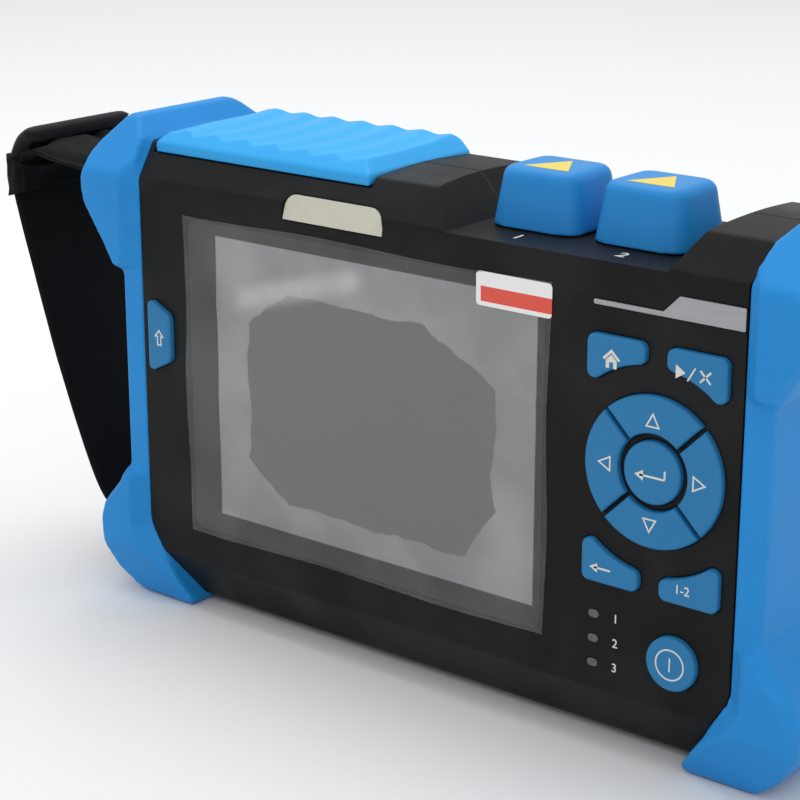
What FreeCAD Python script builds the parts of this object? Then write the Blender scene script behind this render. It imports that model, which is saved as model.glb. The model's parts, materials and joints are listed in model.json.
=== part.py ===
import FreeCAD, Part
import math
import os
from FreeCAD import Vector

# Handheld optical time domain reflectometer, in millimetres.
# X runs to the right as the display is read, Y to the back, Z up.
# The origin is on the surface it stands on, in the middle of the overall length (the strap counts)
# and depth. The pieces are drawn about the middle of the housing and moved to that origin at the end.

# --- driving sizes ---------------------------------------------------------------------------
visible_half_width = 101.8  # black face between the guards, from the middle
housing_depth = 57.0        # front face to back face
crown_z = 143.8             # highest line of the crowned top face
guard_front = 4.0           # how far the corner pads stand in front of the face
guard_back = 3.0            # and behind the back face
wall = 2.5                  # moulded wall thickness
fit_gap = 0.25              # gap round the pieces that are set into the housing
past = 1.0                  # how far a cutting form runs past what it cuts
FAR = 400.0

# --- housing ---------------------------------------------------------------------------------
face_y = guard_front - (guard_front + housing_depth + guard_back) / 2
back_y = face_y + housing_depth
middle_y = (face_y + back_y) / 2
inner_face_y = face_y + wall
housing_bottom = 2.0        # the feet of the guards lift the housing by this much
seam_y = face_y + 29.0      # where the front and rear shells part
seam_gap = 0.4              # seam between the shells, filled by the seal
low_bend_z = 17.5           # the front face bends back below this height
high_bend_z = crown_z - 11.1    # and above this one
bend_depth = 9.0            # how far back the two sloping faces run
shoulder_z = crown_z - 1.6  # front edge of the top face
rear_bevel = 6.0            # bevel round the back face
core_half_width = visible_half_width + 4.2    # side wall of the shells under the guards
shoulder_flare = 2.7        # the black face widens by this much above the upper bend
lip_depth = 2.0             # the guards' lips sit this deep in the shells
corner_rise = 25.5          # height where the lower corners of the black face are cut off
corner_run = 16.8           # and how far the cut runs inwards
corner_round = 9.0

# --- guards ----------------------------------------------------------------------------------
guard_top = crown_z + 5.4   # top of the upper pads
band_half_width = visible_half_width + 8.2    # outer side of the narrow band between the pads
upper_pad_width = visible_half_width + 23.2   # widest point of the upper pads, from the middle
lower_pad_width = visible_half_width + 20.2   # widest point of the lower pads
pad_gap = 0.7               # between the black face and the foot of the pads' inner bevel
bevel_run = 2.5             # that bevel runs outwards by this much more than the pads' draft
pad_draft = 2.0             # the pads narrow by this much over their front 4 mm

# --- display ---------------------------------------------------------------------------------
display_x = 86.65 - visible_half_width        # middle of the display
display_z = 77.5
active_width = 112.9
active_height = 84.5
window_x = 82.3 - visible_half_width          # middle of the window
window_z = 76.0
window_width = 126.0
window_height = 94.5
window_thick = 1.2
window_round = 3.0
lcd_width = 126.9
lcd_height = 99.8
lcd_thick = 6.0
lcd_front_y = inner_face_y + 0.3
lcd_back_y = lcd_front_y + lcd_thick
glass_rim = 2.0             # the glass is sunk into the frame by this much round the active area
glass_sunk = 0.3
film_width = 131.0
film_height = 98.5
film_thick = 0.15
film_x = 82.2 - visible_half_width
film_z = 76.0
film_wave = 1.2             # the film's sides bow inwards by this much
tab_width = 24.0            # paper label on the film's upper right corner
tab_height = 9.2
tab_drop = 1.0
tab_thick = 0.1

# --- keypad ----------------------------------------------------------------------------------
ring_x = visible_half_width - wall - 21.65    # middle of the cursor ring
ring_z = 81.0
ring_outer = 20.1
ring_inner = 10.2
ring_gap = 1.2              # gap between two cursor keys
enter_radius = 8.35
key_inner = 3.1             # corner keys: nearest edge to the ring's upright middle line
key_outer = ring_outer + 0.2       # and farthest edge
key_rise = ring_outer + 13.1       # their far edge above or below the ring's middle
key_arc = ring_outer + 7.5  # their hollow side is concentric with the ring
key_corner = 2.2
power_x = visible_half_width - 16.6
power_z = 31.1
power_radius = 7.35
shift_x = 7.5 - visible_half_width
shift_z = 86.0
shift_half_width = 4.6
shift_tall = 11.6           # half the height of its outer side
shift_short = 7.0           # and of its inner side
key_proud = 1.8             # keys stand this far out of the face
key_round = 0.9             # rounded front edge of a key
key_gap = 0.25              # clearance round a key in the shell
key_travel = 1.0
key_play = 0.15             # between a resting key's flange and the shell
flange_thick = 1.0
flange_width = 0.95         # the flange behind the shell that keeps a key in
enter_flange = 0.75
plunger_radius = 2.2
dome_radius = 3.1           # metal dome under each plunger
dome_top_radius = 1.7
dome_height = 1.2
dome_gap = 0.2              # play between a pressed key and its dome
lamp_x = visible_half_width - 41.1            # three lamp lenses, one above the other
lamp_top_z = 38.3
lamp_pitch = 6.9
lamp_width = 3.2
lamp_height = 2.2
board_y = face_y + 8.0      # front of the keypad board
board_thick = 1.6
plunger_end_y = board_y - dome_height - key_travel - dome_gap
mat_y = inner_face_y + 2.7
mat_thick = 0.8

# --- name plate and trim ---------------------------------------------------------------------
plate_left = window_x - 26.2
plate_right = window_x + 9.2
plate_low = high_bend_z - 4.4
plate_high = high_bend_z + 2.9
plate_lean = 15.0           # the flat plate leans back by this angle
plate_thick = 1.0
plate_proud = 0.1
trim_left = visible_half_width - 43.5
trim_step = visible_half_width - 23.2
trim_low = high_bend_z - 11.3
trim_bar = 1.3              # height of the thin bar
trim_height = 5.8           # and of the wide end
trim_sunk = 0.6
trim_proud = 0.3

# --- optical ports and their caps ------------------------------------------------------------
ledge_z = crown_z - 11.2    # floor of the recess for the ports
ledge_left = visible_half_width - 91.1
ledge_right = visible_half_width - 22.7
ledge_slope_left = 10.0     # how far the left wall of the recess leans
ledge_slope_right = 6.5
vfl_x = visible_half_width - 73.8
otdr_x = visible_half_width - 41.7
port_y = face_y + 26.7
cap_width = 28.0
cap_depth = 25.5
cap_height = 16.2
cap_taper = 2.2             # each side leans in by this much
cap_corner = 5.5            # radius of the upright corners at the rim
cap_edge = 3.2              # rounded edge round the top
cap_wall = 2.0
cap_lift = 0.3              # gap under the cap's rim
ferrule_radius = 1.25
sleeve_outer = 1.62
sleeve_play = 0.02
sleeve_recess = 1.5
sleeve_foot = 6.5           # the sleeves reach this far under the ledge
adapter_radius = 4.0
adapter_height = 10.0
adapter_tail = 7.0          # and the adapters this far
tail_radius = 5.4
tail_gap = 0.2
keyway_width = 2.1
keyway_depth = 2.5
flange_half = 6.6
flange_height = 1.6
flange_round = 1.2
flange_screw_reach = 5.0    # the flange screws lie this far from the port, both ways
flange_screw_radius = 0.9
flange_screw_head = 1.5
flange_screw_head_thick = 0.9
pin_radius = 0.8
pin_clearance = 0.05
knuckle_radius = 1.6
cap_axis_y = port_y + cap_depth / 2 + 2.3
cap_axis_z = ledge_z + 1.8
cap_knuckle_half = 4.0
cap_tab_thick = 2.0
hinge_gap = 0.3             # between a knuckle and its lugs
lug_thick = 3.0
lug_root = 1.0              # lugs reach this far into the surface they stand on

# --- port cover and bay ----------------------------------------------------------------------
cover_left = 0.8 - visible_half_width
cover_right = cover_left + 81.0
cover_front = face_y + 6.5
cover_back = back_y - 4.4
cover_base = crown_z - 4.1
cover_skirt = 2.9           # upright part of the cover's sides
cover_shoulder = 6.2        # how far the sloping shoulder over it would run in, up to the uncut height
cover_valley = 5.5          # height of the valleys of the ribbed top at its front
cover_rise = 1.2            # the ribbed top climbs by this much towards the back
cover_ribs = 7
rib_height = 1.15
rib_bow = 4.0               # the ribs bow to the right by this much half way along
rib_fall = 0.32             # share of a rib's width that its steep right side takes
cover_back_round = 3.5
cover_wall = 2.0
cover_seat = cover_base - 0.4    # the housing is cut down to this height under the cover
seat_gap = 1.0
cover_axis_y = cover_back - 0.6
cover_axis_z = cover_base + 1.5
cover_knuckle = 1.7
cover_hinges = [cover_left + 11.0, cover_right - 11.0]    # middle of each lug
cover_lug_half = 2.0
cover_knuckle_long = 9.0
bay_left = cover_left + 3.5
bay_right = cover_right - 3.0
bay_front = lcd_back_y + 0.2 + wall    # the bay's front wall just clears the display panel
bay_back = back_y - 9.0
bay_floor = cover_seat - 11.8

# --- sockets in the bay ----------------------------------------------------------------------
socket_low_y = face_y + 19.0     # front of every socket
socket_proud = 0.5               # they stand this far out of the bay's floor
socket_gap = 0.2
contact_count = 8
contact_pitch = 1.27
contact_width = 0.5
jack_radius = 3.25               # round power socket
jack_pin_radius = 1.0

# --- back ------------------------------------------------------------------------------------
stand_width = 84.0
stand_bottom = 18.5
stand_axis_z = crown_z - 30.8
stand_thick = 3.0
stand_gap = 0.6
stand_pin_radius = 1.0
stand_pin_reach = 7.8       # the stand's pins reach this far into its sides
stand_axis_y = back_y - stand_thick / 2 - 0.1
stand_round = 6.0
stand_rim = 8.0             # plain rim round the pocket in the stand's outer side
stand_foot = 14.0           # and the plain part at its foot
stand_pocket = 0.8
stand_rib = 2.0
stand_ribs = [-22.0, 0.0, 22.0]
notch_radius = 9.0
recess_floor_y = back_y - stand_thick - 0.4
door_width = 74.0
door_height = stand_axis_z - 33.0
door_z = door_height / 2 + 24.0
door_thick = 2.2
door_front_y = recess_floor_y - door_thick
door_low = door_z - door_height / 2
door_high = door_z + door_height / 2
door_screws = [(-22.0, door_high - 3.6), (22.0, door_high - 3.6)]
door_screw_radius = 1.0
door_screw_head = 2.0
door_screw_sink = 1.2
door_screw_long = 6.0
door_grips = 6
grip_pitch = 5.0
grip_width = 2.0
grip_height = 12.0
grip_depth = 0.7
battery_width = 68.0
battery_height = door_height - 12.0
battery_thick = 19.0
battery_low = door_low + 2.0
battery_play = 0.5
battery_round = 2.0
tray_wall = 5.0
tray_front = door_front_y - 20.4
speaker_x = 29.8 - visible_half_width
speaker_z = crown_z - 47.8
speaker_radius = 13.0
speaker_slot = 1.5
speaker_pitch = 3.2
boss_radius = 3.4
screw_radius = 1.5
screw_head_radius = 2.8
screw_head_thick = 2.0
screw_sink = 3.0
screw_long = 13.0           # the screws' threads in the front shell
screw_drive = 1.1
screw_places = [(17.8 - visible_half_width, 12.0), (visible_half_width - 17.8, 12.0),
                (4.8 - visible_half_width, crown_z - 27.8), (visible_half_width - 4.8, crown_z - 19.8),
                (cover_right + 11.0, crown_z - 10.3), (0.0, 9.5)]

# --- strap -----------------------------------------------------------------------------------
strap_width = housing_depth - 13.0
strap_thick = 2.4
strap_pin_radius = 1.5
strap_slot_height = 10.6
strap_slot_deep = 5.3       # the slots reach this far inwards from the pins
strap_play = 1.5            # between the strap's edges and the ends of the slots
strap_pin_grip = 4.0        # the pins reach this far into the guard past the slots
lower_pin_x = 6.5 - lower_pad_width
lower_pin_z = 20.0
upper_pin_x = 7.5 - upper_pad_width
upper_pin_z = guard_top - 25.2

# --- electronics -----------------------------------------------------------------------------
bracket_thick = 0.8
main_board_back = face_y + 19.0
main_board_thick = 1.6
main_board_front = main_board_back - main_board_thick
main_board_half = visible_half_width - 11.8
main_board_low = 16.5
main_board_top = crown_z - 22.8
board_screws = [(16.8 - visible_half_width, 20.0), (visible_half_width - 16.8, 20.0),
                (16.8 - visible_half_width, 100.0), (visible_half_width - 65.8, 20.0)]
board_screw_stand = 4.0     # spacer in front of the board
board_screw_head = 1.8
module_left = otdr_x - 16.1
module_right = otdr_x + 29.9
module_low = ledge_z - 66.6
module_top = ledge_z - 15.6
module_back = back_y - 9.0
module_lip = 0.6            # the lid stands over the module's case by this much
boot_radius = 2.6
laser_radius = 4.2
laser_low = ledge_z - 20.1
laser_neck_radius = 2.2
laser_neck_low = ledge_z - 9.0
spool_x = ring_x - 11.65
spool_z = 38.0
spool_radius = 22.0
spool_hub = 13.0
spool_bore = 10.0
spool_rim = 1.2
spool_thick = 12.0
coil_radius = 19.5
coil_gap = 0.1
nodes = {}


def box(x0, x1, y0, y1, z0, z1):
    return Part.makeBox(x1 - x0, y1 - y0, z1 - z0, Vector(x0, y0, z0))


def rod(radius, start, end):
    axis = Vector(*end).sub(Vector(*start))
    return Part.makeCylinder(radius, axis.Length, Vector(*start), axis)


def fuse(*shapes):
    whole = shapes[0]
    for shape in shapes[1:]:
        whole = whole.fuse(shape)
    return whole.removeSplitter()


def mirror_x(shape):
    return shape.mirror(Vector(0, 0, 0), Vector(1, 0, 0))


def grown(points, distance):
    """Moves every side of a counter-clockwise outline outwards by a distance."""
    moved = []
    count = len(points)
    for i in range(count):
        before, corner, after = points[i - 1], points[i], points[(i + 1) % count]
        in_x, in_y = corner[0] - before[0], corner[1] - before[1]
        out_x, out_y = after[0] - corner[0], after[1] - corner[1]
        in_len, out_len = math.hypot(in_x, in_y), math.hypot(out_x, out_y)
        normal_in = (in_y / in_len, -in_x / in_len)
        normal_out = (out_y / out_len, -out_x / out_len)
        scale = 1 + normal_in[0] * normal_out[0] + normal_in[1] * normal_out[1]
        moved.append((corner[0] + distance * (normal_in[0] + normal_out[0]) / scale,
                      corner[1] + distance * (normal_in[1] + normal_out[1]) / scale))
    return moved


def rounded_wire(points, radii, lift):
    """Closed wire through flat corner points, each corner rounded; lift places a flat point in space."""
    count = len(points)
    if not isinstance(radii, (list, tuple)):
        radii = [radii] * count
    corners = []
    for i in range(count):
        corner = Vector(points[i][0], points[i][1], 0)
        back = Vector(points[i - 1][0], points[i - 1][1], 0).sub(corner).normalize()
        on = Vector(points[(i + 1) % count][0], points[(i + 1) % count][1], 0).sub(corner).normalize()
        half = back.getAngle(on) / 2
        radius = radii[i]
        reach = radius / math.tan(half)
        middle = Vector(back).add(on).normalize()
        centre = corner.add(Vector(middle).multiply(radius / math.sin(half)))
        crest = centre.sub(Vector(middle).multiply(radius))
        start = corner.add(Vector(back).multiply(reach))
        end = corner.add(Vector(on).multiply(reach))
        corners.append([lift(p.x, p.y) for p in (start, crest, end)])
    edges = []
    for i in range(count):
        start, crest, end = corners[i]
        if radii[i] > 0:
            edges.append(Part.Arc(start, crest, end).toShape())
        following = corners[(i + 1) % count][0]
        if end.distanceToPoint(following) > 1e-4:
            edges.append(Part.LineSegment(end, following).toShape())
    return Part.Wire(edges)


def front_wire(points, radii, y):
    return rounded_wire(points, radii, lambda x, z: Vector(x, y, z))


def front_prism(points, radii, y0, y1):
    """Solid on an outline drawn in X and Z, from y0 back to y1."""
    return Part.Face(front_wire(points, radii, y0)).extrude(Vector(0, y1 - y0, 0))


def side_prism(points, radii, x0, x1):
    """Solid on an outline drawn in Y and Z, from x0 to x1."""
    wire = rounded_wire(points, radii, lambda y, z: Vector(x0, y, z))
    return Part.Face(wire).extrude(Vector(x1 - x0, 0, 0))


def plan_prism(points, x, y, z0, z1):
    """Upright prism on a plan outline given about a middle point."""
    wire = rounded_wire(points, 0, lambda u, v: Vector(x + u, y + v, z0))
    return Part.Face(wire).extrude(Vector(0, 0, z1 - z0))


def plan_wire(width, depth, radius, x, y, z):
    half_width = width / 2
    half_depth = depth / 2
    corners = [(-half_width, -half_depth), (half_width, -half_depth), (half_width, half_depth),
               (-half_width, half_depth)]
    return rounded_wire(corners, radius, lambda u, v: Vector(x + u, y + v, z))


def upright_slot(x, z, width, height, y0, y1):
    """Oval, higher than wide, from y0 back to y1."""
    reach = (height - width) / 2
    ends = [rod(width / 2, (x, y0, z + side * reach), (x, y1, z + side * reach)) for side in (-1, 1)]
    return fuse(box(x - width / 2, x + width / 2, y0, y1, z - reach, z + reach), *ends)


def level_slot(x, z, width, height, y0, y1):
    """Oval, wider than high, from y0 back to y1."""
    reach = (width - height) / 2
    ends = [rod(height / 2, (x + side * reach, y0, z), (x + side * reach, y1, z)) for side in (-1, 1)]
    return fuse(box(x - reach, x + reach, y0, y1, z - height / 2, z + height / 2), *ends)


def screw(x, z, radius, head_radius, tip_y, seat_y, head_y):
    return fuse(rod(radius, (x, tip_y, z), (x, seat_y, z)), rod(head_radius, (x, seat_y, z), (x, head_y, z)))


def edges_where(shape, test):
    return [edge for edge in shape.Edges if test(edge.BoundBox)]


def round_level(shape, radius, axis, level):
    """Rounds the edges that lie wholly in one plane across an axis."""
    def lies_in_plane(bounds):
        low = getattr(bounds, axis + "Min")
        high = getattr(bounds, axis + "Max")
        return abs(low - level) < 0.01 and abs(high - level) < 0.01
    return shape.makeFillet(radius, edges_where(shape, lies_in_plane))


# --- housing ---------------------------------------------------------------------------------
def housing_profile():
    """Side outline of the housing, in Y and Z."""
    return [(face_y, low_bend_z), (face_y + bend_depth, housing_bottom),
            (back_y - rear_bevel, housing_bottom),
            (back_y, housing_bottom + rear_bevel), (back_y, shoulder_z - rear_bevel),
            (back_y - rear_bevel, shoulder_z), (seam_y, crown_z), (face_y + bend_depth, shoulder_z),
            (face_y, high_bend_z)]


profile_radii = [3.0, 4.0, 2.0, 2.0, 2.0, 2.0, 200.0, 2.0, 2.5]


def visible_outline():
    """Front outline of the black part between the guards, in X and Z."""
    half = visible_half_width
    wide = half + shoulder_flare
    above = crown_z + past
    return [(-half + corner_run, housing_bottom - 3), (half - corner_run, housing_bottom - 3),
            (half, corner_rise), (half, high_bend_z), (wide, shoulder_z), (wide, above),
            (-wide, above), (-wide, shoulder_z), (-half, high_bend_z), (-half, corner_rise)]


visible_radii = [0, 0, corner_round, 0, 0, 0, 0, 0, 0, corner_round]


def core_outline(inset):
    half = core_half_width - inset
    low = housing_bottom - past + inset
    return [(-half + corner_run, low), (half - corner_run, low), (half, corner_rise), (half, crown_z + 2),
            (-half, crown_z + 2), (-half, corner_rise)]


def recess_block(inset):
    """Space of the recess for the optical ports; a positive inset makes the block larger all round."""
    top = crown_z + 6
    rise = (top - ledge_z) / (crown_z - ledge_z)
    return front_prism([(ledge_left - inset, ledge_z - inset), (ledge_right + inset, ledge_z - inset),
                        (ledge_right + ledge_slope_right * rise + inset, top),
                        (ledge_left - ledge_slope_left * rise - inset, top)], 0, face_y - 10, back_y + 10)


def housing_solid():
    """Outer form of both shells together."""
    shown = side_prism(housing_profile(), profile_radii, -FAR, FAR)
    shown = shown.common(front_prism(visible_outline(), visible_radii, -FAR, FAR))
    core = side_prism(grown(housing_profile(), -lip_depth), 1.0, -FAR, FAR)
    core = core.common(front_prism(core_outline(0), 0, -FAR, FAR))
    whole = fuse(shown, core)
    whole = whole.cut(recess_block(0))
    seat = box(cover_left - seat_gap, cover_right + seat_gap, -FAR, FAR, cover_seat, FAR)
    return whole.cut(seat)


def housing_cavity():
    """Hollow inside both shells, under the recess, the bay and the cover's seat."""
    room = side_prism(grown(housing_profile(), -lip_depth - wall), 0.5, -FAR, FAR)
    face_room = side_prism(grown(housing_profile(), -wall), 1.0, -visible_half_width + wall,
                           visible_half_width - wall)
    room = room.common(front_prism(core_outline(wall), 0, -FAR, FAR))
    face_room = face_room.common(front_prism(core_outline(wall), 0, -FAR, FAR))
    room = fuse(room, face_room)
    room = room.cut(recess_block(wall))
    bay = box(bay_left - wall, bay_right + wall, bay_front - wall, bay_back + wall, bay_floor - wall, FAR)
    under_seat = box(-FAR, cover_right + seat_gap + wall, -FAR, FAR, cover_seat - wall, FAR)
    room = room.cut(bay).cut(under_seat)
    return room.cut(stand_recess(wall))


def stand_recess(growth):
    """Recess in the back for the folded stand; growth leaves a wall of that thickness in front of it."""
    half = stand_width / 2 + stand_gap + growth
    return box(-half, half, recess_floor_y - growth, FAR, stand_bottom - stand_gap - growth,
               stand_axis_z + stand_thick + growth)


def screw_head_y():
    return back_y - wall - screw_sink


def front_bosses():
    end = seam_y - seam_gap / 2
    return fuse(*[rod(boss_radius, (x, face_y + 1.0, z), (x, end, z)) for x, z in screw_places])


def rear_bosses():
    start = seam_y + seam_gap / 2
    return fuse(*[rod(boss_radius, (x, start, z), (x, back_y - 1.0, z)) for x, z in screw_places])


# --- keys ------------------------------------------------------------------------------------
def round_key(x, z, radius):
    return lambda growth, y0, y1: rod(radius + growth, (x, y0, z), (x, y1, z))


def corner_key(side, up):
    """Key in one corner round the cursor ring; side is -1 left or 1 right, up is 1 above or -1 below."""
    def form(growth, y0, y1):
        xs = sorted([ring_x + side * (key_inner - growth), ring_x + side * (key_outer + growth)])
        zs = sorted([ring_z, ring_z + up * (key_rise + growth)])
        blank = box(xs[0], xs[1], y0, y1, zs[0], zs[1])
        blank = blank.cut(rod(key_arc - growth, (ring_x, y0 - past, ring_z), (ring_x, y1 + past, ring_z)))
        uprights = edges_where(blank, lambda b: b.YLength > 0.5 * (y1 - y0) and b.XLength < 0.01)
        return blank.makeFillet(key_corner + growth, uprights)
    return form


ring_angles = {"key_right": 0, "key_up": 90, "key_left": 180, "key_down": 270}


def ring_sector(angle, near, half_angle, y0, y1):
    """Wedge about the ring's middle, centred on an angle counted from +X towards +Z."""
    reach = 2 * ring_outer
    spread = reach * math.tan(math.radians(half_angle))
    wedge = front_prism([(near, 0), (near + reach, -spread), (near + reach, spread)], 0, y0 - past, y1 + past)
    wedge.rotate(Vector(0, 0, 0), Vector(0, -1, 0), angle)
    wedge.translate(Vector(ring_x, 0, ring_z))
    return wedge


def cursor_key(angle):
    """Quarter of the cursor ring."""
    def form(growth, y0, y1):
        ring = rod(ring_outer + growth, (ring_x, y0, ring_z), (ring_x, y1, ring_z))
        ring = ring.cut(rod(ring_inner - growth, (ring_x, y0 - past, ring_z), (ring_x, y1 + past, ring_z)))
        return ring.common(ring_sector(angle, (ring_gap / 2 - growth) * math.sqrt(2), 45, y0, y1))
    return form


def shift_key(growth, y0, y1):
    corners = [(shift_x - shift_half_width, shift_z - shift_tall),
               (shift_x + shift_half_width, shift_z - shift_short),
               (shift_x + shift_half_width, shift_z + shift_short),
               (shift_x - shift_half_width, shift_z + shift_tall)]
    outer_radius = 1.6 + growth
    inner_radius = 3.2 + growth
    radii = [outer_radius, inner_radius, inner_radius, outer_radius]
    return front_prism(grown(corners, growth), radii, y0, y1)


corner_plunger_x = (key_inner + key_outer) / 2     # plungers of the corner keys, from the ring's middle
corner_plunger_z = key_rise - 4.6
ring_plunger = (ring_outer + ring_inner) / 2

# name: (form, middle of its plunger)
keys = {
    "key_home": (corner_key(-1, 1), (ring_x - corner_plunger_x, ring_z + corner_plunger_z)),
    "key_run_stop": (corner_key(1, 1), (ring_x + corner_plunger_x, ring_z + corner_plunger_z)),
    "key_esc": (corner_key(-1, -1), (ring_x - corner_plunger_x, ring_z - corner_plunger_z)),
    "key_marker": (corner_key(1, -1), (ring_x + corner_plunger_x, ring_z - corner_plunger_z)),
    "key_right": (cursor_key(0), (ring_x + ring_plunger, ring_z)),
    "key_up": (cursor_key(90), (ring_x, ring_z + ring_plunger)),
    "key_left": (cursor_key(180), (ring_x - ring_plunger, ring_z)),
    "key_down": (cursor_key(270), (ring_x, ring_z - ring_plunger)),
    "key_enter": (round_key(ring_x, ring_z, enter_radius), (ring_x, ring_z)),
    "key_power": (round_key(power_x, power_z, power_radius), (power_x, power_z)),
    "key_shift": (shift_key, (shift_x, shift_z)),
}


def key_flange(name, form):
    """Flange behind the shell; cursor keys and enter only have room for it on their outer side."""
    y0 = inner_face_y + key_play
    y1 = y0 + flange_thick
    if name in ring_angles:
        rim = rod(ring_outer + key_gap + flange_width, (ring_x, y0, ring_z), (ring_x, y1, ring_z))
        rim = rim.cut(rod(ring_outer - 1, (ring_x, y0 - past, ring_z), (ring_x, y1 + past, ring_z)))
        return form(0, y0, y1).fuse(rim.common(ring_sector(ring_angles[name], 0, 40, y0, y1)))
    if name == "key_enter":
        return form(enter_flange, y0, y1)
    if name == "key_shift":
        side_wall = -visible_half_width + wall + key_play
        return form(flange_width, y0, y1).common(box(side_wall, 0, y0, y1, 0, FAR))
    return form(flange_width, y0, y1)


def make_key(name):
    form, (x, z) = keys[name]
    front_y = face_y - key_proud
    root_y = inner_face_y + 2 * key_play
    cap = form(0, front_y, root_y)
    cap = round_level(cap, key_round, "Y", front_y)
    plunger = rod(plunger_radius, (x, root_y, z), (x, plunger_end_y, z))
    return fuse(cap, key_flange(name, form), plunger)


def lamp_heights():
    return [lamp_top_z - lamp_pitch * i for i in range(3)]


# --- front shell -----------------------------------------------------------------------------
def rectangle(x, z, width, height):
    """Corners of an upright rectangle about its middle, in X and Z."""
    return [(x - width / 2, z - height / 2), (x + width / 2, z - height / 2),
            (x + width / 2, z + height / 2), (x - width / 2, z + height / 2)]


def window_outline(growth):
    return grown(rectangle(window_x, window_z, window_width, window_height), growth)


def display_opening(growth, y0, y1):
    outline = rectangle(display_x, display_z, active_width + 2 * growth, active_height + 2 * growth)
    return front_prism(outline, 0, y0, y1)


def name_plate_form(growth, outward):
    """Bare flat plate over the display; its upper right corner is the roundest one."""
    corners = [(plate_left, plate_low), (plate_right, plate_low), (plate_right, plate_high),
               (plate_left, plate_high)]
    radii = [0.3, 0.3, 5.5, 4.0]
    front = face_y - plate_proud
    plate = front_prism(grown(corners, growth), radii, front - outward, front + plate_thick)
    plate.rotate(Vector(0, front, plate_low), Vector(-1, 0, 0), plate_lean)
    return plate


def trim_form(growth, y0, y1):
    """Bare silver strip: a thin bar that steps up to a wider end."""
    right = visible_half_width - 0.3
    slant = trim_height - trim_bar
    corners = [(trim_left, trim_low), (right, trim_low), (right, trim_low + trim_height),
               (trim_step + slant, trim_low + trim_height), (trim_step, trim_low + trim_bar),
               (trim_left, trim_low + trim_bar)]
    return front_prism(grown(corners, growth), 0.4, y0, y1)


def make_front_shell():
    start = face_y - past
    through = inner_face_y + past
    half = housing_solid().common(box(-FAR, FAR, -FAR, seam_y - seam_gap / 2, -FAR, FAR))
    posts = front_bosses().common(half)
    shell = fuse(half.cut(housing_cavity()), posts)
    for x, z in screw_places:
        shell = shell.cut(rod(screw_radius, (x, seam_y - screw_long - past, z), (x, seam_y + past, z)))
    shell = shell.cut(bay_room())
    shell = shell.cut(front_prism(window_outline(fit_gap), window_round, start, face_y + window_thick))
    shell = shell.cut(display_opening(1.0, start, through))
    for form, middle in keys.values():
        shell = shell.cut(form(key_gap, start, through))
    for z in lamp_heights():
        shell = shell.cut(level_slot(lamp_x, z, lamp_width + 0.2, lamp_height + 0.2, start, through))
    shell = shell.cut(name_plate_form(fit_gap, 3.0))
    shell = shell.cut(trim_form(0.1, start, face_y + trim_sunk))
    for x in (vfl_x, otdr_x):
        shell = shell.cut(port_hole(x))
    for hole in socket_holes():
        shell = shell.cut(hole)
    return shell


# --- port bay, sockets and optical ports -----------------------------------------------------
def bay_room():
    """The open bay that the cover closes."""
    return box(bay_left, bay_right, bay_front, bay_back, bay_floor, FAR)


# name: (middle in x, width in x, depth in y, height of the body)
socket_sizes = {
    "ethernet_socket": (bay_left + 13.5, 16.0, 13.5, 21.0),
    "usb_host_socket": (bay_left + 32.0, 14.4, 7.0, 17.0),
    "usb_device_socket": (bay_left + 48.5, 7.8, 4.0, 9.5),
    "power_socket": (bay_left + 63.5, 9.0, 11.0, 14.0),
}
socket_top = bay_floor + socket_proud


def socket_body(name, growth):
    x, width, depth, height = socket_sizes[name]
    return box(x - width / 2 - growth, x + width / 2 + growth, socket_low_y - growth,
               socket_low_y + depth + growth, bay_floor - height, socket_top + growth)


def socket_holes():
    return [socket_body(name, socket_gap) for name in socket_sizes]


def socket_middle(name):
    x, width, depth, height = socket_sizes[name]
    return x, socket_low_y + depth / 2


def port_hole(x):
    return rod(tail_radius + tail_gap, (x, port_y, ledge_z - 2 * wall), (x, port_y, ledge_z + past))


def make_ethernet_socket():
    """Eight-way socket: a square mouth with a notch for the plug's latch, and its row of contacts."""
    x, y = socket_middle("ethernet_socket")
    half_width = 5.9
    half_depth = 3.4
    latch_half = 3.2
    deep = socket_top - 15.0
    above = socket_top + past
    plug = box(x - half_width, x + half_width, y - half_depth, y + half_depth, deep, above)
    latch = box(x - latch_half, x + latch_half, y, y + half_depth + 2.0, deep, above)
    body = socket_body("ethernet_socket", 0).cut(plug).cut(latch)
    first = x - (contact_count - 1) * contact_pitch / 2
    for i in range(contact_count):
        left = first + contact_pitch * i - contact_width / 2
        contact = box(left, left + contact_width, y - half_depth, y - half_depth + 0.8, socket_top - 11,
                      socket_top - 3)
        body = body.fuse(contact)
    return body


def make_usb_host_socket():
    x, y = socket_middle("usb_host_socket")
    mouth = box(x - 6.3, x + 6.3, y - 2.6, y + 2.6, socket_top - 12.0, socket_top + past)
    tongue = box(x - 5.6, x + 5.6, y - 2.0, y - 0.1, socket_top - 12.5, socket_top - 1.2)
    return fuse(socket_body("usb_host_socket", 0).cut(mouth), tongue)


def make_usb_device_socket():
    x, y = socket_middle("usb_device_socket")
    outline = [(-3.4, -1.5), (3.4, -1.5), (3.4, 0.6), (2.6, 1.5), (-2.6, 1.5), (-3.4, 0.6)]
    mouth = plan_prism(outline, x, y, socket_top - 7.0, socket_top + past)
    tongue = box(x - 2.4, x + 2.4, y - 0.4, y + 0.4, socket_top - 7.5, socket_top - 1.0)
    return fuse(socket_body("usb_device_socket", 0).cut(mouth), tongue)


def make_power_socket():
    x, y = socket_middle("power_socket")
    deep = socket_top - 10.0
    mouth = rod(jack_radius, (x, y, deep), (x, y, socket_top + past))
    pin = rod(jack_pin_radius, (x, y, deep - 0.5), (x, y, socket_top - 0.8))
    return fuse(socket_body("power_socket", 0).cut(mouth), pin)


def flange_screw_places(x):
    return [(x + side * flange_screw_reach, port_y + side * flange_screw_reach) for side in (-1, 1)]


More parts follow.
